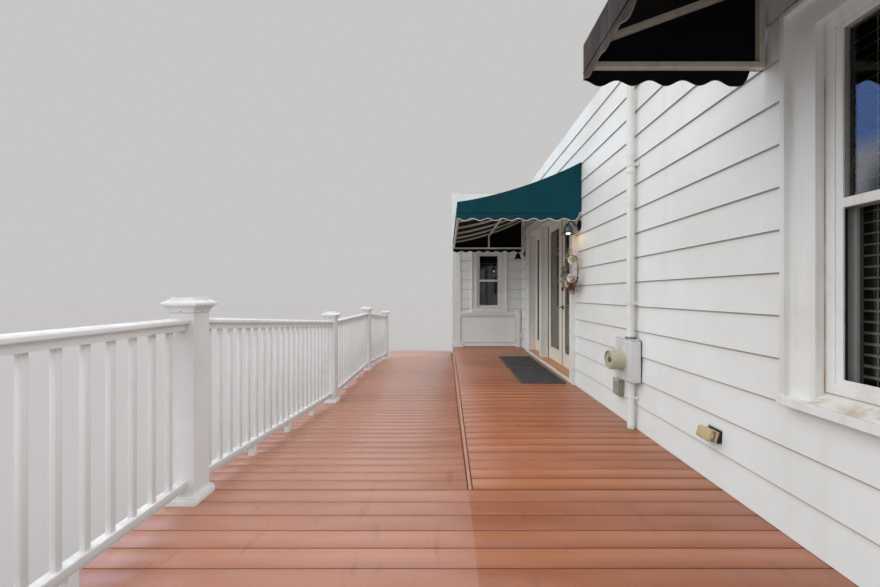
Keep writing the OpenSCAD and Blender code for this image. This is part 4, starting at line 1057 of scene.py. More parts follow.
def siding():
    deep = 0.2
    frame_low, frame_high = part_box("door_casing")
    near_casing, near_high = 0.137, 2.226
    sill_up = 0.605
    reach = NEAR_OPEN + near_casing
    middle = NEAR_WIN_Y
    cutters = [
        block((CORE_X - deep, frame_low.y, DECK_Z - 0.1), (CORE_X + deep, frame_high.y, frame_high.z)),
        block((CORE_X - deep, middle - reach, DECK_Z + sill_up),
              (CORE_X + deep, middle + reach, DECK_Z + near_high + near_casing)),
    ]
    play = 0.0003
    for low, high in islands("wall_outlets"):
        cutters.append(block((CORE_X - deep, low.y - play, low.z - play),
                             (CORE_X + deep, high.y + play, high.z + play)))
    lantern_up, plate_r = 1.8, 0.0603
    for low, high in islands("lanterns"):
        centre = Vector((CORE_X, (low.y + high.y) / 2, DECK_Z + lantern_up + PLATE_UP))
        cutters.append(rod(centre - Vector((deep, 0, 0)), centre + Vector((deep, 0, 0)), plate_r, 48))
    clad("wall_boards", "white_siding", (CORE_X, NEAR_Y), (CORE_X, WING_Y - 0.0003), (-1, 0), cutters, 11)
    corner, casing = 0.150, 0.120
    panel_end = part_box("wing_panel")[1].x
    reach = WING_OPEN + casing
    front = [
        block((WING_WIN_X - reach, WING_CORE.y - deep, DECK_Z - 0.1),
              (WING_WIN_X + reach, WING_CORE.y + deep, DECK_Z + WING_WIN_Z[1] + casing)),
        block((WING_X - 0.1, WING_CORE.y - deep, DECK_Z - 0.1),
              (panel_end, WING_CORE.y + deep, DECK_Z + 0.727)),
        block((panel_end - 0.079, WING_CORE.y - deep, DECK_Z - 0.05),
              (panel_end + 0.0002, WING_CORE.y + deep, DECK_Z + 0.775)),
    ]
    clad("wing_boards", "wing_siding", (WING_X + corner, WING_CORE.y), (CORE_X, WING_CORE.y), (0, -1),
         front, 12)
    clad("wing_side_boards", "white_siding", (WING_CORE.x, WING_Y + corner), (WING_CORE.x, FAR_Y), (-1, 0),
         [], 13)


def kept_nodes():
    """Finishes of the CAD nodes that stay as they are."""
    for look, soften, segments, nodes in (
        ("frame_timber", 0.003, 2, ["deck_joists"]),
        ("beam_timber", 0.003, 2, ["deck_beams"]),
        ("composite_decking", 0.003, 2, ["deck_fascia"]),
        ("trim_strip", 0.003, 2, ["step_skirt"]),
        ("white_vinyl", 0.004, 3, ["rail_posts"]),
        ("foundation_concrete", 0.004, 2, ["foundation"]),
        ("wall_core", 0, 0, ["near_wall", "wall_over_doors", "far_wall", "wing_wall", "wing_side_wall"]),
        ("white_trim", 0.0025, 2, ["corner_board", "door_casing", "window_frames"]),
        ("panel_paint", 0.0025, 2, ["wing_panel"]),
        ("white_trim", 0.002, 2, ["door_frame"]),
        ("sill_wood", 0.004, 3, ["door_sill"]),
        ("hinge_steel", 0.0006, 1, ["door_hinges", "far_leaf_hardware"]),
        ("door_paint", 0.003, 2, ["near_leaf", "far_leaf", "side_panel"]),
        ("sash_grey", 0.003, 2, ["window_sashes"]),
        ("awning_tube", 0.004, 3, ["door_awning_frame"]),
        ("taupe_tube", 0.004, 3, ["window_awning_frame"]),
    ):
        for node in nodes:
            dressed(node, look, soften, segments)


# Awnings

VALANCE = 0.086
SCALLOP_L = 0.180
SCALLOP_H = 0.028
CANVAS_T = 0.0014
AWNINGS = {
    "door": {
        "top": 2.620, "front": 2.161, "bar": 2.026, "sag": 0.060, "bays": 6,
        "cheek_back": 0.020, "cheek_rise": 0.075, "cuff_up": 0.014,
        "cloth": "green_canvas", "edge": "cream_binding", "cord": 0.0032, "spare": 0.0,
        "seam": "painted_seam_shade", "seam_up": 0.004, "seam_r": 0.0036,
    },
    "window": {
        "top": 2.640, "front": 2.320, "bar": 2.205, "sag": 0.0, "bays": 1,
        "cheek_back": 0.068, "cheek_rise": 0.048, "cuff_up": -0.014,
        "cloth": "charcoal_canvas", "edge": "tan_binding", "cord": 0.0022, "spare": 0.3,
        "seam": "black_lining", "seam_up": -0.022, "seam_r": 0.0020,
    },
}


def cloth_grid(across, down, size, place):
    """A grid of cloth set in place by a function of its two shares, with its UV map in metres."""
    deselect()
    bpy.ops.mesh.primitive_grid_add(x_subdivisions=across, y_subdivisions=down, size=1)
    obj = bpy.context.object
    for vertex in obj.data.vertices:
        vertex.co = place(vertex.co.x + 0.5, vertex.co.y + 0.5)
    for corner in obj.data.uv_layers.active.data:
        corner.uv = (corner.uv[0] * size[0], corner.uv[1] * size[1])
    return obj


class Awning:
    """The cloth of one awning: a top that sags, two cheeks and a scalloped front."""

    def __init__(self, kind):
        self.kind = kind
        self.sizes = AWNINGS[kind]
        low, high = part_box(f"{kind}_awning_cloth")
        self.wall = high.x
        self.reach = high.x - low.x
        self.y0, self.y1 = low.y, high.y
        self.width = high.y - low.y
        self.low = self.sizes["bar"] - VALANCE
        self.cuff = self.sizes["bar"] + self.sizes["cuff_up"]
        self.back = self.sizes["cheek_back"]

    def top_z(self, out):
        """Height over the deck of the top at a share out from the wall."""
        top, front, sag = (self.sizes[key] for key in ("top", "front", "sag"))
        return top + (front - top) * out - 4 * sag * out * (1 - out)

    def scallops(self, run):
        return round(run / SCALLOP_L + self.sizes["spare"])

    def wave(self, distance, run):
        """Height of the scalloped edge at a distance along a run of scallops."""
        count = self.scallops(run)
        return self.low + SCALLOP_H * (1 + math.cos(2 * math.pi * count * distance / run)) / 2

    def cheek_low(self, out):
        """Lower edge of a cheek at a share out from the wall; it rises at the wall."""
        distance = out * self.reach
        if distance <= self.back:
            return self.cuff
        run = self.reach - self.back
        half = run / self.scallops(run) / 2
        rise = min(1, (distance - self.back) / self.sizes["cheek_rise"])
        edge = self.low if distance - self.back < half else self.wave(self.reach - distance, run)
        return edge + (self.cuff - edge) * (1 - math.sqrt(1 - (1 - rise) ** 2))

    def flutter(self, z, along):
        """How far the hanging valance swings out at a height, at a distance along it."""
        share = max(0.0, (self.cuff - z) / (self.cuff - self.low))
        return 0.0045 * share * math.sin(along * 2 * math.pi / 0.43) * math.cos(along * 3.1)

    def top_point(self, across, out):
        lift = -0.0036 * min(1, out * 12, (1 - out) * 12)
        between = abs(math.sin(math.pi * self.sizes["bays"] * across))
        dip = 0.009 * between * 4 * out * (1 - out)
        x = self.wall - self.reach * out
        return x, self.y0 + self.width * across, DECK_Z + self.top_z(out) + lift - dip

    def cheek_point(self, side, out, down):
        top = self.top_point(0 if side < 0 else 1, out)[2] - DECK_Z
        low = self.cheek_low(out)
        z = top + (low - top) * down
        bow = 0.004 * math.sin(math.pi * min(1, down * 1.2)) * (1 - out)
        inward = bow - self.flutter(z, out * self.reach)
        y = self.y0 + inward if side < 0 else self.y1 - inward
        return self.wall - self.reach * out, y, DECK_Z + z

    def front_point(self, across, down):
        top = self.sizes["front"]
        low = self.wave(across * self.width, self.width)
        z = top + (low - top) * down
        y = self.y0 + self.width * across
        return self.wall - self.reach - self.flutter(z, across * self.width), y, DECK_Z + z

    def cloth(self):
        steps = 14 * max(4, round((self.reach - self.back) / SCALLOP_L))
        across = 10 * round(self.width / SCALLOP_L)
        drop = self.sizes["front"] - self.low
        fall = self.sizes["top"] - self.low
        parts = [
            cloth_grid(across, steps, (self.width, self.reach), self.top_point),
            cloth_grid(across, 8, (self.width, drop), self.front_point),
            cloth_grid(steps, 16, (self.reach, fall), lambda u, v: self.cheek_point(-1, u, v)),
            cloth_grid(steps, 16, (self.reach, fall), lambda u, v: self.cheek_point(1, 1 - u, v)),
        ]
        sewn = only(joined(parts))
        bpy.ops.object.mode_set(mode="EDIT")
        bpy.ops.mesh.select_all(action="SELECT")
        bpy.ops.mesh.remove_doubles(threshold=0.0004)
        bpy.ops.object.mode_set(mode="OBJECT")
        lining = [FINISHES[self.sizes["cloth"]], FINISHES["black_lining"]]
        for material in lining:
            sewn.data.materials.append(material)
        modify(
            sewn, "SOLIDIFY", thickness=CANVAS_T, offset=-1, material_offset=1,
            material_offset_rim=0, use_even_offset=True,
        )
        return sewn

    def edge_line(self, lift=0.0):
        """Points along the lower edge: down one cheek, over the front and up the other."""
        points = []
        steps = 70
        for side in (-1, 1):
            cheek = []
            for i in range(steps + 1):
                x, y, z = self.cheek_point(side, i / steps, 1)
                cheek.append((x, y + side * 0.0006, z + lift))
            front = 12 * round(self.width / SCALLOP_L)
            line = [self.front_point(i / front, 1) for i in range(1, front)]
            line = [(x - 0.0006, y, z + lift) for x, y, z in line]
            points += cheek + line if side < 0 else cheek[::-1]
        return points

    def seam_line(self, height):
        """Points along a sewn line at a height over the deck, around the three sides."""
        near = [(self.wall - self.reach * t / 20, self.y0 - 0.0008, DECK_Z + height) for t in range(3, 21)]
        far = [(x, self.y1 + 0.0008, z) for x, _, z in near[::-1]]
        front = [
            (self.wall - self.reach - 0.0008, self.y0 + self.width * i / 30, DECK_Z + height)
            for i in range(1, 30)
        ]
        return near + front + far

    def build(self):
        kind = self.kind
        node = f"{kind}_awning_cloth"
        slot = self.sizes["cloth"]
        binding = tube(self.edge_line(0.003), self.sizes["cord"], sides=2, smooth=False)
        finished(binding, f"{kind}_awning_binding", slot, self.sizes["edge"], replaces=[node])
        # The welt along the seam; on the door awning its dark finish is painted shade.
        seam = self.seam_line(self.sizes["bar"] + self.sizes["seam_up"])
        welt = tube(seam, self.sizes["seam_r"], sides=1, smooth=False)
        finished(welt, f"{kind}_awning_welt", slot, self.sizes["seam"], replaces=[node])
        sewn = self.cloth()
        only(sewn)
        bpy.ops.object.shade_smooth_by_angle(angle=math.radians(50))
        name = f"{kind}_awning_canvas"
        sewn.name = sewn.data.name = name
        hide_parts(node)
        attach(sewn, "root")


# Glass, blinds and door details

NEAR_PART = NEAR_Y + 3      # what lies before this along Y belongs to the near window
LEAVES = (("near_leaf", "near_door"), ("far_leaf", "far_door"))


def frame_ring(low, high, border, depth0, depth1):
    """A flat rectangular ring around a box that faces -X, between two depths."""
    outer = block((depth0, low.y - border, low.z - border), (depth1, high.y + border, high.z + border))
    return carved(outer, [block((depth0 - 0.01, low.y, low.z), (depth1 + 0.01, high.y, high.z))])


def shrunk(low, high, by):
    """A box drawn in by the same amount on the sides of its face, with its depth kept."""
    inset = Vector((0, by, by))
    return low + inset, high - inset


def glazing(node, body, name):
    """Moulded glazing frames on both faces of a leaf, with a bead down to the glass."""
    leaf_low, leaf_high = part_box(node)
    low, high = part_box(f"{node}_glass") if node != "side_panel" else side_glass_box()
    inner_low, inner_high = shrunk(low, high, 0.011)
    face_t = 0.006
    parts = []
    for face, glass, out in ((leaf_low.x, low.x, -1), (leaf_high.x, high.x, 1)):
        ends = sorted((face, face + out * face_t))
        rim = frame_ring(low, high, 0.017, *ends)
        parts.append(rounded(rim, 0.0022, 2))
        bead_ends = sorted((face + out * face_t * 0.6, glass + out * 0.0002))
        bead = frame_ring(inner_low, inner_high, 0.0107, *bead_ends)
        parts.append(rounded(bead, 0.003, 2))
    return finished(joined(parts), name, "door_paint", body=body)


def side_glass_box():
    leaf_low, leaf_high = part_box("side_panel")
    boxes = [b for b in islands("window_glass") if leaf_low.y < b[0].y and b[1].y < leaf_high.y]
    return boxes[0]


def slats(low, high, width, pitch, tilt, crown, top_share=1.0):
    """Blind slats along Y in a box that faces -X, from its foot up to a share of its height."""
    middle = (low.x + high.x) / 2
    half = width / 2
    thick = 0.0006
    arc = [(-half, 0), (-half * 0.5, crown * 0.75), (0, crown), (half * 0.5, crown * 0.75), (half, 0)]
    outline = arc + [(x, z - thick) for x, z in arc[::-1]]
    turn = math.radians(tilt)
    points = [
        (middle + x * math.cos(turn) - z * math.sin(turn), low.y,
         low.z + half + x * math.sin(turn) + z * math.cos(turn))
        for x, z in outline
    ]
    slat = extruded(drawn(points), (0, high.y - low.y, 0))
    count = int(((high.z - low.z) * top_share - 2 * half) / pitch)
    return repeated(slat, count, (0, 0, pitch))


def leaf_glass(node, body, top_share):
    """A sealed unit: a clear outer pane, a slatted blind in the gap and an inner pane painted dark with the
    shade of the room.
    """
    low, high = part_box(f"{node}_glass")
    pane = 0.003
    outer = block((low.x, low.y, low.z), (low.x + pane, high.y, high.z))
    finished(rounded(outer, 0.0005, 1), f"{node}_outer_pane", "pane_glass", "clear_glass",
             body=body, replaces=[f"{node}_glass"], smooth=0)
    inner = block((high.x - pane, low.y, low.z), (high.x, high.y, high.z))
    finished(rounded(inner, 0.0005, 1), f"{node}_inner_pane", "pane_glass", "room_shade_glass",
             body=body, replaces=[f"{node}_glass"], smooth=0)
    gap_low = Vector((low.x + pane, low.y + 0.004, low.z + 0.006))
    gap_high = Vector((high.x - pane, high.y - 0.004, high.z))
    blind = slats(gap_low, gap_high, 0.0135, 0.0145, 52, 0.0012, top_share)
    rail_z = blind.bound_box[1][2]
    rail = block((gap_low.x + 0.002, gap_low.y, rail_z), (gap_high.x - 0.002, gap_high.y, rail_z + 0.012))
    rounded(rail, 0.001, 1)
    finished(joined([blind, rail]), f"{node}_blind", "window_blind", "door_blind", body=body)


def window_panes():
    """The panes of the windows and of the side panel, each with slightly rounded edges."""
    side_low, side_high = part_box("side_panel")
    for i, (low, high) in enumerate(islands("window_glass")):
        # The side panel's pane is dark: painted shade of the room behind.
        if side_low.y < low.y < side_high.y:
            look = "room_shade_glass"
        else:
            look = "still_glass" if low.y < NEAR_PART else ""
        finished(rounded(block(low, high), 0.0008, 1), f"window_pane_{i + 1}", "pane_glass", look,
                 replaces=["window_glass"], smooth=0)


def storm_windows():
    """White storm frames outside the sashes, with dark gasket strips at the near lower sash that also paint
    the shade there, old caulk and a sloping near sill.
    """
    x = CORE_X + 0.019
    y0, y1 = NEAR_WIN_Y - NEAR_OPEN + 0.0005, NEAR_WIN_Y + NEAR_OPEN - 0.0005
    stile = 0.0635
    foot, head = DECK_Z + 0.692, DECK_Z + 2.2255
    bar = block((x, y0, foot), (x + 0.012, y1, head))
    holes = [
        block((x - 0.01, y0 + stile, DECK_Z + low), (x + 0.03, y1 - stile, DECK_Z + high))
        for low, high in ((0.756, 1.446), (1.484, 2.166))
    ]
    finished(rounded(carved(bar, holes), 0.003, 2), "near_storm_frame", "white_trim")
    bar = block((x - 0.005, y0, foot), (x, y1, head))
    hole = block((x - 0.02, y0 + 0.037, DECK_Z + 0.730), (x + 0.02, y1 - 0.037, DECK_Z + 2.190))
    finished(rounded(carved(bar, [hole]), 0.002, 2), "near_storm_bead", "white_trim")
    y = WING_CORE.y + 0.016
    x0, x1 = WING_WIN_X - WING_OPEN + 0.0005, WING_WIN_X + WING_OPEN - 0.0005
    bar = block((x0, y, DECK_Z + WING_WIN_Z[0] + 0.0005), (x1, y + 0.014, DECK_Z + WING_WIN_Z[1] - 0.0005))
    holes = [
        block((x0 + 0.0575, y - 0.01, DECK_Z + low), (x1 - 0.0575, y + 0.03, DECK_Z + high))
        for low, high in ((0.863, 1.361), (1.399, 1.897))
    ]
    finished(rounded(carved(bar, holes), 0.003, 2), "wing_storm_frame", "white_trim")
    # Dark gasket strips at the lower sash's front, dark also as painted shade at the sash's edge.
    gaskets_and_shade = [
        block((CORE_X + 0.060, near, DECK_Z + 0.70), (CORE_X + 0.0705, far, DECK_Z + 1.46))
        for near, far in ((y0, y0 + 0.036), (y1 - 0.036, y1))
    ]
    gaskets_and_shade.append(block((CORE_X + 0.060, y0 + 0.036, DECK_Z + 0.70),
                         (CORE_X + 0.0705, y1 - 0.036, DECK_Z + 0.712)))
    finished(joined(gaskets_and_shade), "near_sash_gasket_and_shade", "white_trim", "dark_rubber")
    beads = [
        rounded(block((x - 0.008, near, DECK_Z + 0.690), (x - 0.005, far, DECK_Z + 2.0)), 0.001, 2)
        for near, far in ((y0, y0 + 0.003), (y1 - 0.003, y1))
    ]
    finished(joined(beads), "old_caulk", "white_trim", "brown_caulk")
    slope = [
        (WALL_X - 0.047, 0.6452), (CORE_X + 0.031, 0.6452),
        (CORE_X + 0.031, 0.6905), (WALL_X - 0.047, 0.6485),
    ]
    sill = extruded(drawn([(px, y0, DECK_Z + pz) for px, pz in slope]), (0, y1 - y0, 0))
    finished(rounded(sill, 0.0015, 1), "near_window_slope", "white_trim", "weathered_sill")


def window_blind():
    """An open slatted blind behind the near window, with rails and cords, and dark sheets of painted room
    shade behind the shades of both windows.
    """
    low, high = islands("window_shades")[0]
    rail = 0.030
    front = low - Vector((0.002, 0, 0))
    back = Vector((high.x - 0.0015, high.y, high.z))
    foot = block(front, (back.x, high.y, low.z + 0.018))
    head = block((front.x, low.y, high.z - rail), back)
    rows = slats(front + Vector((0, 0, 0.022)), back - Vector((0, 0, rail)), 0.0205, 0.044, 24, 0.002)
    cords = [
        rod((front.x + 0.002, low.y + share * (high.y - low.y), low.z + 0.01),
            (front.x + 0.002, low.y + share * (high.y - low.y), high.z - 0.01), 0.0016, 8)
        for share in (0.12, 0.5, 0.88)
    ]
    parts = [rows, rounded(foot, 0.003, 2), rounded(head, 0.003, 2), *cords]
    finished(joined(parts), "slatted_blind", "window_blind", replaces=["window_shades"])
    # Dark sheets behind the blind and the curtain: painted shade of the unlit room.
    for i, (low, high) in enumerate(islands("window_shades")):
        if i == 0:
            dark = block((high.x - 0.0013, low.y, low.z), high)
        else:
            dark = block((low.x, high.y - 0.0013, low.z), high)
        finished(dark, f"room_shade_backing_{i + 1}", "window_blind", "painted_room_shade",
                 replaces=["window_shades"], smooth=0)


def curtain():
    """Two sheer panels that hang in soft folds behind the wing's window and meet in the middle."""
    low, high = islands("window_shades")[1]
    middle = (low.x + high.x) / 2
    depth = (low.y + high.y) / 2 - 0.001
    drop = high.z - low.z
    folds, swing, full = 5, 0.0062, 1.25
    for name, start, end, lead in (
        ("near_curtain", low.x, middle + 0.004, 0.0), ("far_curtain", middle - 0.004, high.x, 1.3)
    ):
        width = end - start

        def place(u, v, start=start, width=width, lead=lead):
            swell = swing * (0.55 + 0.45 * v)
            wave = math.sin(2 * math.pi * folds * u + lead + 0.5 * math.sin(3 * v + lead))
            side = 0.004 * math.cos(4 * math.pi * folds * u + lead) * (0.3 + 0.7 * v)
            x = start + width * min(1, max(0, u)) + side * math.sin(math.pi * u)
            return x, depth + swell * wave, high.z - 0.004 - (drop - 0.006) * v

        panel = cloth_grid(90, 30, (width * full, drop), place)
        modify(panel, "SOLIDIFY", thickness=0.0008, offset=0)
        finished(panel, name, "window_blind", "sheer_curtain", replaces=["window_shades"], smooth=60)


def sash_locks():
    """A small cam lock on the meeting rail of the near window."""
    boxes = islands("window_sashes")
    near = [b for b in boxes if b[0].y < NEAR_PART]
    lower = min(near, key=lambda ends: ends[0].z)
    x, y, z = lower[0].x, (lower[0].y + lower[1].y) / 2, lower[1].z
    base = rounded(block((x - 0.002, y - 0.030, z), (x + 0.026, y + 0.030, z + 0.006)), 0.002, 2)
    cam = turned((x + 0.012, y, z + 0.006), [
        (0, 0), (0.012, 0), (0.012, 0.005), (0.010, 0.008), (0, 0.008),
    ], 20)
    arm = rounded(block((x - 0.006, y - 0.006, z + 0.007), (x + 0.014, y + 0.026, z + 0.013)), 0.002, 2)
    finished(joined([base, cam, arm]), "sash_lock", "white_trim")


def door_hardware():
    """Levers with round roses and a deadbolt on both faces of the near leaf, and its hinges."""
    leaf_low, leaf_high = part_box("near_leaf")
    stile = 0.110
    lever_z, bolt_up = 0.910, 0.262
    reach = 0.052
    y = leaf_high.y - stile / 2
    z = DECK_Z + lever_z
    parts = []
    for face, out in ((leaf_low.x, -1), (leaf_high.x, 1)):
        turn = swung(90 * out, "Y")
        rose = [(0, 0), (0.030, 0), (0.030, 0.005), (0.027, 0.008), (0.012, 0.009), (0.0105, 0.013),
                (0.0095, reach - 0.014), (0.0095, reach - 0.002), (0.008, reach), (0, reach)]
        neck = turned_out((face, y, z), rose, 32, turn)
        line = [
            (0.006, 0), (0.0, -0.001), (-0.020, -0.0005), (-0.055, 0.0005),
            (-0.090, 0.0), (-0.108, -0.003), (-0.115, -0.004),
        ]
        x = face + out * (reach - 0.008)
        grip = tube([(x + out * bend, y + along, z) for along, bend in line], 0.0075, sides=4)
        thumb = turned_out((face, y, z + bolt_up), [
            (0, 0), (0.029, 0), (0.029, 0.010), (0.026, 0.015), (0.018, 0.018), (0.014, 0.0235), (0, 0.024),
        ], 32, turn)
        parts += [neck, grip, thumb]
    bar = block((leaf_high.x + 0.024, y - 0.0035, z + bolt_up - 0.013),
                (leaf_high.x + 0.034, y + 0.0035, z + bolt_up + 0.013))
    parts.append(rounded(bar, 0.0015, 2))
    finished(joined(parts), "lever_and_deadbolt", "black_hardware", body="near_door",
             replaces=["near_leaf_hardware"])
    knuckles = []
    for piece_low, piece_high in islands("near_leaf_hardware"):
        if piece_high.y < leaf_low.y + 0.05:
            centre = (piece_high.x - 0.007, leaf_low.y - 0.003)
            knuckles.append(rod((*centre, piece_low.z), (*centre, piece_high.z), 0.007, 20))
            plate = block((piece_low.x, centre[1], piece_low.z),
                          (piece_low.x + 0.0025, piece_high.y, piece_high.z))
            knuckles.append(rounded(plate, 0.0006, 1))
    finished(joined(knuckles), "near_leaf_hinges", "hinge_steel", body="near_door",
             replaces=["near_leaf_hardware"])


def leaf_strips():
    """Dark strips on each leaf: a rubber sweep along its foot over the sill, and down its far edge a dark
    strip of painted shade for the shadow line there.
    """
    for node, body in LEAVES:
        low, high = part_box(node)
        sweep = block((low.x + 0.006, low.y + 0.004, low.z - 0.0045),
                      (high.x - 0.006, high.y - 0.004, low.z))
        # Painted shade: a dark strip down the leaf's far edge stands for the shadow line of that edge.
        edge_shade = block((low.x - 0.003, high.y - 0.022, low.z + 0.004),
                     (low.x, high.y - 0.002, high.z - 0.014))
        for strip, kind in ((sweep, "sweep"), (edge_shade, "edge_shade")):
            rounded(strip, 0.001, 1)
            finished(strip, f"{node}_{kind}", "black_hardware", "dark_rubber", body=body)


# Wall fittings

def lanterns():
    """Bell shades on goosenecks with round wall plates; the near one is lit."""
    shade_r, shade_h, crown_h, metal = 0.0875, 0.110, 0.008, 0.0012
    bend, arm, reach = 0.036, 0.0065, 0.130
    profile = [
        (1.0, 0.0), (0.93, 0.03), (0.82, 0.085), (0.72, 0.155), (0.645, 0.24), (0.60, 0.34), (0.572, 0.45),
        (0.545, 0.57), (0.505, 0.69), (0.44, 0.80), (0.36, 0.89), (0.29, 0.955), (0.235, 1.0),
    ]

    def bell(inset):
        return [(shade_r * wide - inset, (shade_h - inset) * high) for wide, high in profile]

    rim = [(shade_r - 0.0015, -0.0004), (shade_r + 0.0002, 0.0006), (shade_r - 0.0002, 0.002)]
    outside = [rim[1], rim[2], *bell(0)[1:]]
    crown = [
        (0.019, shade_h + 0.003), (0.013, shade_h + 0.006),
        (0.0105, shade_h + crown_h), (0, shade_h + crown_h),
    ]
    inside = [(0, shade_h - 0.002), *bell(metal)[::-1][:-1], rim[0]]
    for i, (low, high) in enumerate(islands("lanterns")):
        name = ("near", "far")[i]
        y, z = (low.y + high.y) / 2, low.z
        shade = turned((WALL_X - reach, y, z), inside + outside + crown, 56)
        look = "lantern_metal" if i == 0 else "black_hardware"
        finished(shade, f"{name}_lantern_shade", "lantern_metal", look, replaces=["lanterns"])
        top = z + shade_h + crown_h / 2
        neck = [(WALL_X - reach, y, top - 0.004)]
        for a in range(0, 181, 12):
            turn = math.radians(a)
            neck.append((WALL_X - reach + bend * (1 - math.cos(turn)), y, top + bend * math.sin(turn)))
        back = WALL_X - reach + 2 * bend
        elbow = 0.014
        level = z + PLATE_UP
        for a in range(0, 91, 18):
            turn = math.radians(a)
            neck.append((back + elbow * (1 - math.cos(turn)), y, level + elbow * (1 - math.sin(turn))))
        neck.append((WALL_X - 0.006, y, level))
        gooseneck = tube(neck, arm, sides=4, smooth=False)
        collars = [
            turned((WALL_X - reach, y, top - 0.002), [
                (0, 0), (0.011, 0), (0.011, 0.006), (0.008, 0.010), (0, 0.010),
            ], 24),
            turned((back, y, level + 0.012), [
                (0, 0), (0.009, 0), (0.0095, 0.004), (0.009, 0.008), (0, 0.008),
            ], 24),
        ]
        plate = turned_out((WALL_X, y, level), [
            (0, -LAP_FOOT + 0.0004), (0.0597, -LAP_FOOT + 0.0004), (0.0597, 0.005), (0.0575, 0.008),
            (0.050, 0.0095), (0.047, 0.012), (0.022, 0.0135), (0.014, 0.018), (0.010, 0.022), (0, 0.022),
        ], 48)
        head = [(0, 0.009), (0.0045, 0.009), (0.0045, 0.0135), (0.003, 0.0155), (0, 0.0155)]
        bolts = [turned_out((WALL_X, y + side * 0.036, level), head, 16) for side in (-1, 1)]
        finished(joined([gooseneck, *collars, plate, *bolts]), f"{name}_lantern_arm", "lantern_metal",
                 "black_hardware", replaces=["lanterns"])
        glass = turned((WALL_X - reach, y, z - 0.004), [
            (0, 0), (0.010, 0.002), (0.018, 0.007), (0.0228, 0.015), (0.024, 0.026), (0.0226, 0.038),
            (0.018, 0.052), (0.0136, 0.068), (0.0125, 0.078), (0, 0.078),
        ], 32)
        bulb = "bulb_glass" if i == 0 else "unlit_bulb"
        finished(glass, f"{name}_bulb", "bulb_glass", bulb, replaces=["lantern_bulbs"])
        if i == 0:
            lamp = bpy.data.lights.new("lantern_light", "POINT")
            lamp.energy = 0.24
            lamp.color = (1.0, 0.66, 0.34)
            lamp.shadow_soft_size = 0.012
            holder = bpy.data.objects.new("lantern_light", lamp)
            bpy.context.scene.collection.objects.link(holder)
            holder.location = (WALL_X - reach, y, z - 0.022)
            holder.visible_glossy = False
        socket = turned((WALL_X - reach, y, z + 0.074), [
            (0, 0), (0.0165, 0), (0.0175, 0.004), (0.0175, 0.024), (0.014, 0.0335), (0, 0.0335),
        ], 28)
        finished(socket, f"{name}_bulb_socket", "bulb_glass", "black_hardware",
                 replaces=["lantern_bulbs"])


def meter_set():
    """The service box with its rounded front, cover, top lip and latch, and the round meter on it."""
    low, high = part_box("meter_box")
    radius = 0.022
    body = block(low, (high.x - 0.006, high.y, high.z))
    pick_edges(body, lambda a, b: max(a.co.x, b.co.x) < low.x + 0.001 and abs(a.co.z - b.co.z) > 0.1)
    bpy.ops.mesh.bevel(offset=radius, segments=6)
    bpy.ops.object.mode_set(mode="OBJECT")
    rounded(body, 0.0015, 1, 50)
    side_t = 0.0025
    covers = []
    for y0, y1 in ((low.y - side_t, low.y), (high.y, high.y + side_t)):
        side = block((low.x + radius + 0.006, y0, low.z + 0.008), (high.x - 0.010, y1, high.z - 0.008))
        covers.append(rounded(side, 0.001, 1))
    # Painted shadow: a dark slab at the back of the box stands for the shadow gap between the box and the
    # wall boards.
    gap = block((high.x - 0.006, low.y + 0.008, low.z + 0.008), (high.x, high.y - 0.008, high.z - 0.008))
    finished(gap, "service_box_gap_shade", "box_grey", "dark_rubber", replaces=["meter_box"])
    lip = block((low.x + 0.004, low.y + 0.004, high.z), (high.x - 0.006, high.y - 0.004, high.z + 0.004))
    face_w = 0.006
    face = block((low.x - 0.0022, low.y + radius + face_w, low.z + 0.014),
                 (low.x, high.y - radius - face_w, high.z - 0.014))
    latch = block((low.x - 0.012, (low.y + high.y) / 2 - 0.010, low.z + 0.018),
                  (low.x - 0.002, (low.y + high.y) / 2 + 0.010, low.z + 0.044))
    parts = [body, *covers, rounded(lip, 0.0015, 2), rounded(face, 0.001, 1), rounded(latch, 0.002, 2)]
    finished(joined(parts), "service_box", "box_grey", replaces=["meter_box"])
    meter_low, meter_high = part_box("meter")
    centre = ((meter_low.y + meter_high.y) / 2, (meter_low.z + meter_high.z) / 2)
    place = (meter_high.x, *centre)
    barrel = turned_out(place, [
        (0, 0), (0.0865, 0), (0.0865, 0.009), (0.0845, 0.012), (0.0830, 0.0125), (0.0815, 0.016),
        (0.0805, 0.050), (0.0800, 0.054), (0.0812, 0.057), (0.0812, 0.063), (0.0798, 0.066),
        (0.0785, 0.100), (0.0770, 0.108), (0.0745, 0.1125), (0.0720, 0.1125), (0.0705, 0.110),
        (0.0700, 0.099), (0.030, 0.0985), (0.028, 0.096), (0, 0.096),
    ], 64)
    knob = turned_out(place, [
        (0, 0.096), (0.0200, 0.096), (0.0205, 0.1045), (0.018, 0.1085), (0.006, 0.1092), (0, 0.1085),
    ], 32)
    finished(barrel, "meter_barrel", "meter_beige", replaces=["meter"])
    finished(knob, "meter_knob", "meter_beige", "aged_metal", replaces=["meter"])


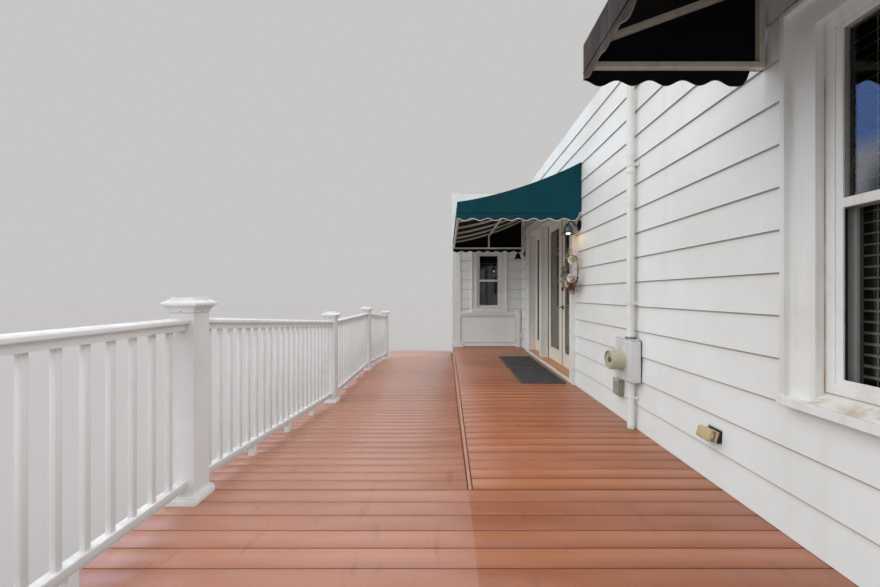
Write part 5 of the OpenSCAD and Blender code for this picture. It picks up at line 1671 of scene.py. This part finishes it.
def conduits():
    """Conduits over and under the service box, with hubs, couplings, straps and a splayed foot."""
    box_low, box_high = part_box("meter_box")
    y = (box_low.y + box_high.y) / 2 - 0.038
    thick, slim, standoff, strap_h = 0.030, 0.026, 0.014, 0.030
    runs = [
        ("lower_conduit", slim, DECK_Z, box_low.z, [0.240]),
        ("upper_conduit", thick, box_high.z, WALL_TOP, [1.010, 2.139]),
    ]
    for name, radius, z0, z1, straps in runs:
        x = WALL_X - radius - standoff
        length = z1 - z0
        pipe = turned((x, y, z0), [
            (0, 0), (radius + 0.001, 0), (radius, 0.004), (radius, length - 0.001),
            (radius - 0.001, length), (0, length),
        ], 36)
        parts = [pipe]
        cuffs = [z0 + 0.001, z1 - 0.046] if z1 < WALL_TOP else [z0 + 0.005, z0 + 1.35]
        for z in cuffs:
            outer = radius + (0.0035 if z1 < WALL_TOP else 0.0030)
            parts.append(turned((x, y, z), [
                (0, 0), (outer - 0.001, 0), (outer, 0.002), (outer, 0.040),
                (outer - 0.001, 0.043), (0, 0.045),
            ], 36))
        for level in [DECK_Z + strap for strap in straps]:
            parts.append(turned((x, y, level), [
                (radius, 0), (radius + 0.0018, 0), (radius + 0.0022, 0.002),
                (radius + 0.0022, strap_h - 0.002), (radius + 0.0018, strap_h), (radius, strap_h),
            ], 36))
            lug = block((WALL_X - 0.0045, y - radius - 0.016, level),
                        (WALL_X - 0.0015, y + radius + 0.016, level + strap_h))
            parts.append(rounded(lug, 0.001, 1))
            parts.append(block((x, y - radius + 0.006, level + 0.004),
                               (WALL_X - 0.002, y + radius - 0.006, level + strap_h - 0.004)))
        finished(joined(parts), name, "conduit_white", replaces=["conduit"])
    x = WALL_X - thick - standoff
    hub = turned((x, y, box_high.z + 0.0005), [
        (thick + 0.0032, 0), (thick + 0.012, 0), (thick + 0.013, 0.003), (thick + 0.010, 0.010),
        (thick + 0.008, 0.020), (thick + 0.0032, 0.021),
    ], 48)
    finished(hub, "conduit_hub", "box_grey", "aged_metal", replaces=["conduit"])


def outlet_covers():
    """The near outlet's in-use cover on its gasket, the cable box and the far outlet."""
    near, cable, far = islands("wall_outlets")
    low, high = near
    back = (low.z + high.z) / 2
    gasket = extruded(drawn([
        (CORE_X - 0.0003, low.y, low.z + 0.004), (CORE_X - 0.0003, low.y, high.z - 0.010),
        (WALL_X - 0.003, low.y, high.z - 0.010), (WALL_X - 0.006, low.y, high.z - 0.020),
        (WALL_X - 0.022, low.y, low.z + 0.004),
    ]), (0, high.y - low.y - 0.006, 0))
    finished(rounded(gasket, 0.003, 2), "outlet_gasket", "outlet_tan", "dark_rubber",
             replaces=["wall_outlets"])
    middle = Vector((WALL_X - 0.041, (low.y + high.y) / 2, back + 0.002))
    turn = Matrix.Translation(middle) @ swung(17, "Y")

    def slab(x0, x1, inset, half_z, soften, up=0.0):
        half_y = (high.y - low.y) / 2 - inset
        piece = rounded(block((x0, -half_y, up - half_z), (x1, half_y, up + half_z)), soften, 4)
        piece.data.transform(turn)
        return piece

    base = slab(0.012, 0.028, 0.004, 0.033, 0.004)
    cover = slab(-0.029, -0.005, 0.002, 0.034, 0.0112)
    knob = slab(-0.014, -0.004, -0.0005, 0.012, 0.003)
    finished(joined([base, cover, knob]), "outlet_cover", "outlet_tan", replaces=["wall_outlets"])
    band = slab(-0.006, 0.014, 0.007, 0.030, 0.003)
    ribs = [slab(-0.007, 0.015, 0.006, 0.002, 0.001, -0.021 + 0.014 * i) for i in range(4)]
    finished(joined([band, *ribs]), "outlet_cover_band", "outlet_tan", "smoked_tan",
             replaces=["wall_outlets"])
    for name, (low, high) in (("cable_box", cable), ("far_outlet_box", far)):
        back = block((WALL_X - 0.006, low.y, low.z), (CORE_X - 0.0003, high.y, high.z))
        body = block((low.x + 0.012, low.y + 0.005, low.z + 0.005),
                     (WALL_X - 0.006, high.y - 0.005, high.z - 0.005))
        lid = block((low.x, low.y + 0.002, low.z + 0.002), (low.x + 0.014, high.y - 0.002, high.z - 0.002))
        head = [(0, 0), (0.004, 0), (0.004, 0.0015), (0.0025, 0.003), (0, 0.003)]
        screw = turned_out((low.x, (low.y + high.y) / 2, low.z + 0.014), head, 16)
        parts = [rounded(back, 0.001, 1), rounded(body, 0.004, 2), rounded(lid, 0.005, 3), screw]
        if name == "cable_box":
            dome = [(0, -0.002), (0.030, -0.002), (0.029, 0.002), (0.022, 0.006), (0, 0.008)]
            parts.append(turned_out((low.x, (low.y + high.y) / 2, high.z - 0.040), dome, 32))
            for share in (0.3, 0.7):
                y = low.y + share * (high.y - low.y)
                parts.append(turned((low.x + 0.028, y, low.z - 0.012), [
                    (0, 0), (0.008, 0), (0.009, 0.003), (0.009, 0.010), (0.011, 0.012),
                    (0.011, 0.018), (0, 0.018),
                ], 20))
        look = "cable_taupe" if name == "cable_box" else "box_grey"
        finished(joined(parts), name, "outlet_tan", look, replaces=["wall_outlets"])


def door_mats():
    """Two ribbed mats with a plain border, each slightly worn at its edges."""
    for i, (low, high) in enumerate(islands("door_mats")):
        mat = block(low, (high.x, high.y, high.z - 0.003))
        rounded(mat, 0.003, 2)
        border, pitch = 0.030, 0.0115
        count = int((high.y - low.y - 2 * border) / pitch)
        rib = block((low.x + border, low.y + border, high.z - 0.004),
                    (high.x - border, low.y + border + pitch * 0.62, high.z - 0.0004))
        repeated(rounded(rib, 0.0012, 1), count, (0, pitch, 0))
        finished(joined([mat, rib]), f"ribbed_mat_{i + 1}", "mat_rubber", replaces=["door_mats"])


# Wreath

def rose(petals_out, size, seed):
    """A rose of curled petals around a bud, opening along +Z, modelled petal by petal."""
    draw = random.Random(seed)
    parts = []
    for ring, (count, lean, reach, lift) in enumerate(petals_out):
        for i in range(count):
            def place(u, v, lean=lean, reach=reach):
                side = (u - 0.5) * 2
                width = 0.75 * reach * math.sin(math.pi * min(0.98, 0.22 + 0.74 * v) * 0.9)
                curl = 0.22 * reach * side * side + 0.10 * reach * max(0, v - 0.75) * 4
                out = reach * v * math.sin(lean) + curl * -0.6 * math.cos(lean)
                up = reach * v * math.cos(lean) + curl * 0.5 * math.sin(lean)
                return out, side * width * 0.8, up
            petal = cloth_grid(6, 6, (1, 1), place)
            spin = 2 * math.pi * (i + 0.5 * ring) / count + draw.uniform(-0.15, 0.15)
            turn = Matrix.Rotation(spin, 4, "Z") @ Matrix.Translation((0.05 * reach, 0, lift))
            petal.data.transform(Matrix.Scale(size, 4) @ turn)
            parts.append(petal)
    flower = joined(parts)
    return modify(flower, "SOLIDIFY", thickness=0.0009, offset=0)


def leaf(length, width):
    """One leaf along +X with a raised edge and a drooping tip."""
    def place(u, v):
        side = (v - 0.5) * 2
        wide = width * math.sin(math.pi * u ** 0.85) ** 0.8 * side / 2
        return length * u, wide, 0.25 * abs(wide) - 0.22 * length * u * u
    blade = cloth_grid(8, 4, (length, width), place)
    return modify(blade, "SOLIDIFY", thickness=0.0007, offset=0)


def wreath():
    """A ring of twisted vine on the wall by the doors, with roses, leaves and hanging twigs."""
    low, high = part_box("wreath")
    centre = (low + high) / 2 + Vector((0.013, 0, 0))
    deep = (high.x - low.x) / 2
    ring = (high.z - low.z) / 2 - deep
    draw = random.Random(21)
    strands = []
    for i in range(7):
        phase = draw.uniform(0, 2 * math.pi)
        wrap = draw.choice((2, 3, 4, 5))
        loose = draw.uniform(0.08, 0.56) * deep
        wobble = draw.uniform(0, 6)
        points = []
        for k in range(64):
            turn = 2 * math.pi * k / 64
            around = wrap * turn + phase
            swell = loose * (1 + 0.12 * math.sin(3 * turn + wobble)) * (0.57 + 0.43 * math.cos(turn + 1.0))
            radius = ring + swell * math.cos(around) * 0.9
            out = swell * math.sin(around)
            points.append((
                centre.x + out, centre.y + radius * math.cos(turn), centre.z + radius * math.sin(turn),
            ))
        strands.append(tube(points, draw.uniform(0.0022, 0.0042), closed=True, sides=2))
    for i in range(210):
        turn = draw.gauss(-1.75, 0.5) if i % 5 else draw.uniform(0.3, 1.6)
        start = Vector((centre.x + draw.uniform(-0.6, 0.3) * deep,
                        centre.y + ring * math.cos(turn), centre.z + ring * math.sin(turn)))
        reach = draw.uniform(0.05, 0.12)
        bend = Vector((draw.uniform(-0.35, 0.1), draw.uniform(-1.0, 1.0), draw.uniform(-1.0, 0.7)))
        tip = start + bend.normalized() * reach
        tip.x = max(low.x - 0.02, min(high.x - 0.004, tip.x))
        middle = (start + tip) / 2 + Vector((0, draw.uniform(-0.01, 0.01), draw.uniform(-0.01, 0.01)))
        thick = draw.uniform(0.0012, 0.0026)
        strands.append(tube([start, (start + middle) / 2, middle, tip], thick, sides=1))
    finished(joined(strands), "vine_ring", "wreath_vine", replaces=["wreath"], smooth=60)
    blooms = [
        ("pink_rose", "rose_pink", 0.058, (-0.30, -0.44), 0.6),
        ("top_rose", "rose_pink", 0.038, (-1.15, 1.02), 0.5),
        ("cream_rose", "rose_cream", 0.056, (-0.50, 0.64), 0.6),
        ("peach_rose", "rose_peach", 0.034, (-0.42, 0.98), 0.4),
        ("low_cream_rose", "rose_cream", 0.030, (0.45, -0.86), 0.4),
        ("side_cream_rose", "rose_cream", 0.026, (0.72, -0.66), 0.3),
    ]
    rings = [(3, 0.10, 0.55, 0.0), (4, 0.28, 0.75, -0.02), (5, 0.62, 0.95, -0.05), (6, 1.0, 1.05, -0.08)]
    toward = swung(-90, "Y")
    for i, (name, look, size, (along, up), tilt) in enumerate(blooms):
        flower = rose(rings, size, 31 + i)
        spot = Matrix.Translation((low.x + 0.036, centre.y + along * ring, centre.z + up * ring))
        lean = Matrix.Rotation(tilt, 4, "Z") @ toward
        flower.data.transform(spot @ lean)
        only(flower)
        finished(flower, name, "wreath_vine", look, replaces=["wreath"], smooth=60)
    leaves = []
    model = leaf(0.066, 0.017)
    for i in range(130):
        ways = (draw.uniform(-45, 25), draw.uniform(-30, 10), draw.uniform(80, 140))
        turn = math.radians(draw.choice(ways))
        radius = ring + draw.uniform(-0.6, 1.7 if turn < 0.5 else 1.0) * deep
        spot = Vector((low.x + draw.uniform(-0.02, 0.050), centre.y + radius * math.cos(turn) + 0.01,
                       centre.z + radius * math.sin(turn)))
        tilt = Matrix.Rotation(draw.uniform(0, 2 * math.pi), 4, "X") @ Matrix.Rotation(
            draw.uniform(-0.9, -0.2), 4, "Z") @ swung(90, "Z")
        size = Matrix.Scale(draw.uniform(0.6, 1.15), 4)
        leaves.append(copied(model, Matrix.Translation(spot) @ tilt @ size))
    bpy.data.objects.remove(model)
    finished(joined(leaves), "wreath_leaves", "wreath_vine", "leaf_green", replaces=["wreath"], smooth=60)


# Light, floor and camera

def studio():
    """A plain pale floor under a soft sky that darkens near the horizon, and a wide low sun."""
    world = bpy.data.worlds.new("soft_sky")
    world.use_nodes = True
    tree = world.node_tree
    way = add(tree, "SeparateXYZ", Vector=add(tree, "TexCoord").outputs["Generated"]).outputs
    height = way["Z"]
    dome = mixed(tree, ranged(tree, height, 0.14, 0.34), (0.34, 0.35, 0.34, 1), (1.05, 1.06, 1.09, 1))
    rays = add(tree, "LightPath").outputs
    mirrored = mixed(tree, ranged(tree, height, 0.14, 0.28), (0.12, 0.14, 0.12, 1), (1.35, 1.50, 1.64, 1))
    clouds = mixed(tree, ranged(tree, height, 0.24, 0.28), (2.7, 2.7, 3.1, 1), (0.85, 1.5, 3.6, 1))
    beside = mixed(tree, ranged(tree, height, 0.12, 0.18), (0.05, 0.06, 0.05, 1), clouds)
    near_edge = ranged(tree, way["X"], -0.672, -0.684)
    far_edge = ranged(tree, way["X"], -0.748, -0.736)
    patch = reckon(tree, "MULTIPLY", near_edge, far_edge)
    patch = reckon(tree, "MULTIPLY", patch, ranged(tree, height, 0.39, 0.37))
    mirrored = mixed(tree, patch, mirrored, beside)
    shown = mixed(tree, rays["Is Glossy Ray"], dome, mirrored)
    shown = mixed(tree, rays["Is Camera Ray"], shown, (0.575, 0.570, 0.565, 1))
    feed(tree, tree.nodes["Background"].inputs["Color"], shown)
    bpy.context.scene.world = world
    bpy.context.scene.view_settings.view_transform = "Standard"
    deselect()
    bpy.ops.mesh.primitive_plane_add(size=400, location=(0, 0, 0))
    floor = bpy.context.object
    floor.name = "studio_floor"
    ground = bpy.data.materials.new("pale_floor")
    ground.use_nodes = True
    shader = ground.node_tree.nodes["Principled BSDF"]
    shader.inputs["Base Color"].default_value = paint(175, 172, 170)
    shader.inputs["Roughness"].default_value = 0.9
    shader.inputs["Specular IOR Level"].default_value = 0.0
    floor.data.materials.append(ground)
    for name, power, spread, aim in (
        ("open_side_sun", 0.8, 60, (0.75, 0.25, -0.6)),
        ("roof_side_sun", 0.6, 45, (-0.5, 0.1, -0.85)),
        ("near_side_sun", 0.2, 50, (0.05, 1.0, -0.12)),
    ):
        sun = bpy.data.lights.new(name, "SUN")
        sun.energy = power
        sun.angle = math.radians(spread)
        holder = bpy.data.objects.new(name, sun)
        bpy.context.scene.collection.objects.link(holder)
        holder.rotation_euler = Vector(aim).to_track_quat("-Z", "Y").to_euler()


def camera():
    """Level view along the porch; its sizes are those that the photograph was measured with."""
    picture_w, focal = 880, 365
    vanish_x, vanish_y = 447, 294
    picture_h = 587
    eye = Vector((EDGE_X + 1.490, NEAR_Y + 0.530, DECK_Z + 1.10))
    lens = bpy.data.cameras.new("porch_view")
    lens.sensor_width = 36
    lens.lens = 36 * focal / picture_w
    lens.shift_x = (picture_w / 2 - vanish_x) / picture_w
    lens.shift_y = (vanish_y - picture_h / 2) / picture_w
    lens.clip_start = 0.02
    holder = bpy.data.objects.new("porch_view", lens)
    bpy.context.scene.collection.objects.link(holder)
    holder.location = eye
    holder.rotation_euler = (math.radians(90), 0, 0)
    bpy.context.scene.camera = holder


build_finishes()
camera()
studio()
kept_nodes()
deck_boards()
railings()
post_caps()
post_collars()
siding()
panel_shade_lines()
for awning in AWNINGS:
    Awning(awning).build()
for leaf_node, leaf_body in (*LEAVES, ("side_panel", "root")):
    glazing(leaf_node, leaf_body, f"{leaf_node}_glazing_frame")
leaf_glass("near_leaf", "near_door", 0.66)
leaf_glass("far_leaf", "far_door", 0.97)
window_panes()
storm_windows()
window_blind()
curtain()
sash_locks()
door_hardware()
leaf_strips()
lanterns()
meter_set()
conduits()
outlet_covers()
door_mats()
wreath()
